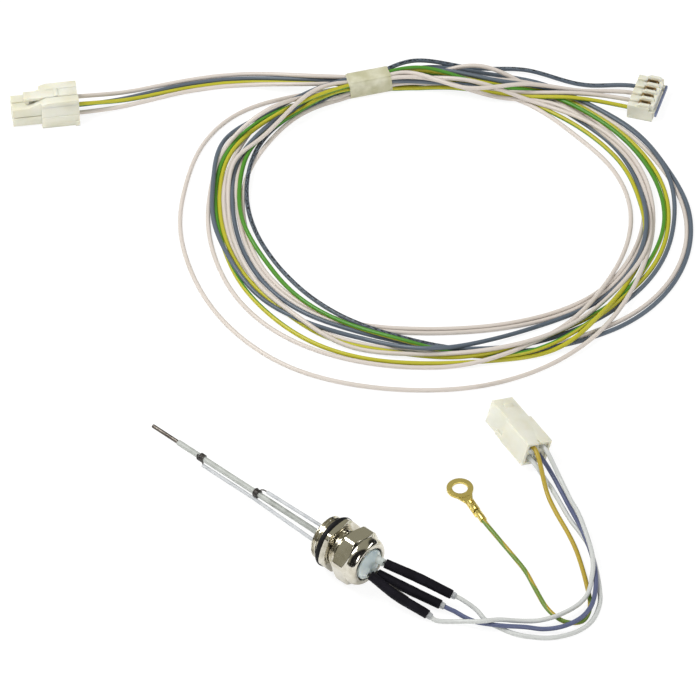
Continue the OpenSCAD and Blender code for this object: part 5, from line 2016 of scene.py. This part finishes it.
@dataclass
class HarnessPlug:
    """The harness plug: four towers, a rear block and a rocking latch."""

    sizes: HousingSizes = PLUG
    tower: float = 3.8
    lever_w: float = 4.0
    lever_t: float = 1.3
    pin_d: float = 1.2
    cavity: float = 2.6

    def build(self) -> Object:
        """Makes the housing and the latch."""
        s = self.sizes
        w, h, q, t = s.width / 2, s.height / 2, s.pitch / 2, self.tower / 2
        pivot = s.nose + 6
        lever_z = h + 1.5
        work = Carving("plug_housing_moulded")
        work.box((s.nose, s.length), (-w, w), (-h, 0.2))
        work.box((s.nose, s.length), (-w + 0.25, w - 0.25), (0, h))
        for side in (-1, 1):
            for up in (-1, 1):
                work.box((0, s.nose + 1), (side * q - t, side * q + t), (up * q - t, up * q + t))
        work.box((s.nose - 4, s.nose + 1), (-q, q), (-q, q))
        work.prism([(s.nose - 3.5, q + t - 0.4), (s.nose - 3.5, q + t - 0.1), (s.nose + 0.5, h - 0.05),
                    (s.nose + 0.5, q)], (-1.2, 1.2))
        work.box((s.length - 1.6, s.length), (-w - 0.55, -w + 0.3), (-h, -h + 2.2))
        top = lever_z + self.lever_t / 2 + 0.02
        inner = self.lever_w / 2 + 0.25
        wing = [(s.nose - 4.5, q + t - 0.02), (s.nose + 2.5, top), (s.nose + 3, top), (s.nose + 3, 0.5),
                (s.nose - 0.5, 0.5), (s.nose - 0.5, q + t - 0.8), (s.nose - 4.5, q + t - 0.8)]
        cheek = [(s.nose, 0.5), (s.nose, top - 0.95), (s.nose + 2.5, top), (s.length - 0.01, top),
                 (s.length - 0.01, 0.5)]
        for side in (-1, 1):
            work.prism(wing, sorted((side * inner, side * (q + t - 0.02))))
            work.prism(cheek, sorted((side * inner, side * (w - 0.3))))
            for up in (-1, 1):
                at = (side * q, up * q)
                work.rod((-1, *at), (s.nose + 1, *at), self.cavity, cut=True)
                bore_lead(work, s, *at, s.nose)
        work.box((s.length - 0.8, s.length + 1), (1.2 - w, w - 1.2), (1.1 - h, h - 1.1), cut=True)
        piece = work.finish(s.pose(), 0.25, Finishes.ivory, ["plug_housing"])
        self.latch(s.nose - 6, s.length - 0.15, pivot, lever_z)
        dress("plug_latch_pin", Finishes.tinned)
        dress("plug_contacts", Finishes.contact)
        return piece

    def latch(self, front: float, back: float, pivot: float, z: float) -> None:
        """Makes the latch lever with its hook and its ribbed thumb pad."""
        half = self.lever_w / 2
        low = z - self.lever_t / 2 + 0.1
        work = Carving("plug_latch_lever")
        work.box((front, back), (-half, half), (low, low + self.lever_t))
        work.prism([(front, low + 0.2), (front, low - 0.4), (front + 1, low - 1.2), (front + 1.8, low - 1.2),
                    (front + 1.8, low + 0.2)], (-half, half))
        work.rod((pivot, -half, z), (pivot, half, z), 2.4)
        for k in range(4):
            x = back - 0.9 - 0.9 * k
            work.box((x - 0.2, x + 0.2), (-half + 0.4, half - 0.4),
                     (low + self.lever_t - 0.1, low + self.lever_t + 0.15))
        work.rod((pivot, -3, z), (pivot, 3, z), self.pin_d + 0.16, cut=True)
        work.finish(self.sizes.pose(), 0.15, Finishes.ivory, ["plug_latch"], body="latch")


@dataclass
class BoardConnector:
    """The harness board connector: a comb of walls over open contact slots, with a key rail."""

    sizes: BoardSizes = BOARD
    slot_w: float = 1.8
    wall: float = 1.2
    blade_w: float = 1.44
    lug_in: float = 1.6

    def build(self) -> List[Object]:
        """Makes the housing, the key rail and the contact blades.

        Returns:
            The pieces on the leads' ends.
        """
        s = self.sizes
        half, d, h = s.length / 2, s.depth / 2, s.height / 2
        lead_z = s.lead_level - h
        work = Carving("board_housing_moulded")
        work.box((-half, half), (-d, d), (-h, h))
        wall = [(0.6 - d, 0.5), (0.6 - d, h + 0.5), (1.3 - d, h + 1.1), (d - 4.6, h + 1.1),
                (d - 2.4, h - 0.3), (d - 2.4, 0.5)]
        for k in range(5):
            x = s.slot_x(k) - s.pitch / 2
            work.prism_x(wall, (x - self.wall / 2, x + self.wall / 2))
        lugs = [side * (half - self.lug_in) for side in (-1, 1)]
        for x in lugs:
            work.box((x - 0.8, x + 0.8), (-d - 0.8, 0.4 - d), (2 - h, 4 - h))
        for k in range(4):
            x = s.slot_x(k)
            work.box((x - self.slot_w / 2, x + self.slot_w / 2), (1.2 - d, d - 3.4), (1.6 - h, h + 3),
                     cut=True)
            work.box((x - 0.55, x + 0.55), (d - 3.6, d + 1), (h - 1.0, h + 3), cut=True)
            work.rod((x, d - 4, lead_z), (x, d + 2, lead_z), LEAD_D + 0.5, cut=True)
        work.box((-half - 1, 1.2 - half), (-d - 1, 1.4 - d), (h - 1.6, h + 3), cut=True)
        housing = work.finish(s.pose(), 0.18, Finishes.ivory, ["board_housing"])
        rail = Carving("board_key_rail")
        rail.box((0.5 - half, half - 0.5), (-d - 1.5, -d - 0.8), (2.3 - h, 3.7 - h))
        for x in lugs:
            rail.box((x - 0.5, x + 0.5), (-d - 1.0, -d - 0.78), (2.4 - h, 3.6 - h))
        key = rail.finish(s.pose(), 0.16, Finishes.key, ["board_key"])
        blades = Carving("board_contact_blades")
        for k in range(4):
            x, b = s.slot_x(k), self.blade_w / 2
            blades.box((x - b, x + b), (1.4 - d, d - 3.6), (1.7 - h, 2.3 - h))
            for side in (x - b, x + b):
                blades.box((side - 0.14, side + 0.14), (1.5 - d, d - 3.7), (1.7 - h, h + 0.5))
            blades.box((x - b, x + b), (d - 4.5, d - 3.9), (1.7 - h, h + 0.2))
            blades.box((x - 0.6, x + 0.6), (1.8 - d, 2.4 - d), (1.7 - h, h))
        contacts = blades.finish(s.pose(), 0.05, Finishes.contact, ["board_contacts"], segments=1)
        return [housing, key, contacts]


@dataclass
class TapeBand:
    """The translucent tape round the sixteen strands, with its free end laid on top."""

    sizes: TapeSizes = field(default_factory=TapeSizes)
    corner: float = 1.7
    flap_ends: Pair = (-7.2, 7.9)

    def outline(self, half: float, count: int = 64) -> Array:
        """Points of a square with round corners, across the band."""
        points = []
        inner = half - self.corner
        for k, (y, z) in enumerate(((inner, inner), (-inner, inner), (-inner, -inner), (inner, -inner))):
            for a in np.radians(np.linspace(90 * k, 90 * k + 90, count // 4)):
                points.append((y + self.corner * math.cos(a), z + self.corner * math.sin(a)))
        return np.array(points)

    def build(self) -> Object:
        """Makes the band."""
        s = self.sizes
        half = s.width / 2
        outer, inner = self.outline(half - 0.05), self.outline(half - s.thickness + 0.1)
        stations = np.linspace(-s.length / 2, s.length / 2, 29)
        rows = []
        for along, points in ((stations, outer), (stations[::-1], inner)):
            a = np.arctan2(points[:, 1], points[:, 0])
            for x in along:
                wave = 1 - 0.02 * np.sin(x * 0.9 + 2 * a) ** 2 - 0.014 * np.sin(x * 2.1 + 5 * a) ** 2
                wave = np.where(points[:, 1] < -half + 1, 1.0, wave)
                lean = x + 0.35 * np.sin(2 * a + 1) * (abs(x) / (s.length / 2)) ** 6
                rows.append(np.stack([lean, points[:, 0] * wave, points[:, 1] * wave], 1))
        shape = Shape().grid(rows, loop=True)
        self._flap(shape, half)
        return make("tape_band_wrapped", shape.moved(s.pose()), Finishes.tape, ["tape_band"], sharp=50)

    def _flap(self, shape: Shape, half: float) -> None:
        """Adds the outer wrap's free end, over the top and down the near side."""
        rows = []
        points = self.outline(half)
        a = np.degrees(np.arctan2(points[:, 1], points[:, 0]))
        path = points[(a > -40) & (a < 128)]
        for off, ends in ((0.02, self.flap_ends), (0.12, self.flap_ends[::-1])):
            out = path * (1 + off / half)
            for x in np.linspace(*ends, 12):
                rows.append(np.stack([np.full(len(out), x), out[:, 0] * 0.985, out[:, 1] * 0.985], 1))
        shape.grid(rows, ring=False, loop=True)


def main() -> None:
    """Builds the scene in order and reports each piece."""
    logging.basicConfig(level=logging.INFO, format="%(name)s: %(message)s", stream=sys.stdout)
    Studio().build()
    harness = Harness()
    harness.build()
    pigtail = Pigtail()
    pigtail.build()
    GlandBody().build()
    DomeNut().build()
    GlandInsides().build()
    Electrodes().build()
    Joints().build()
    ring = RingTerminal(pigtail.terminal).build()
    socket = SocketHousing().build()
    HarnessPlug().build()
    board = BoardConnector().build()
    TapeBand().build()
    harness.declare(board)
    pigtail.declare(socket, ring)


if __name__ == "__main__":
    main()
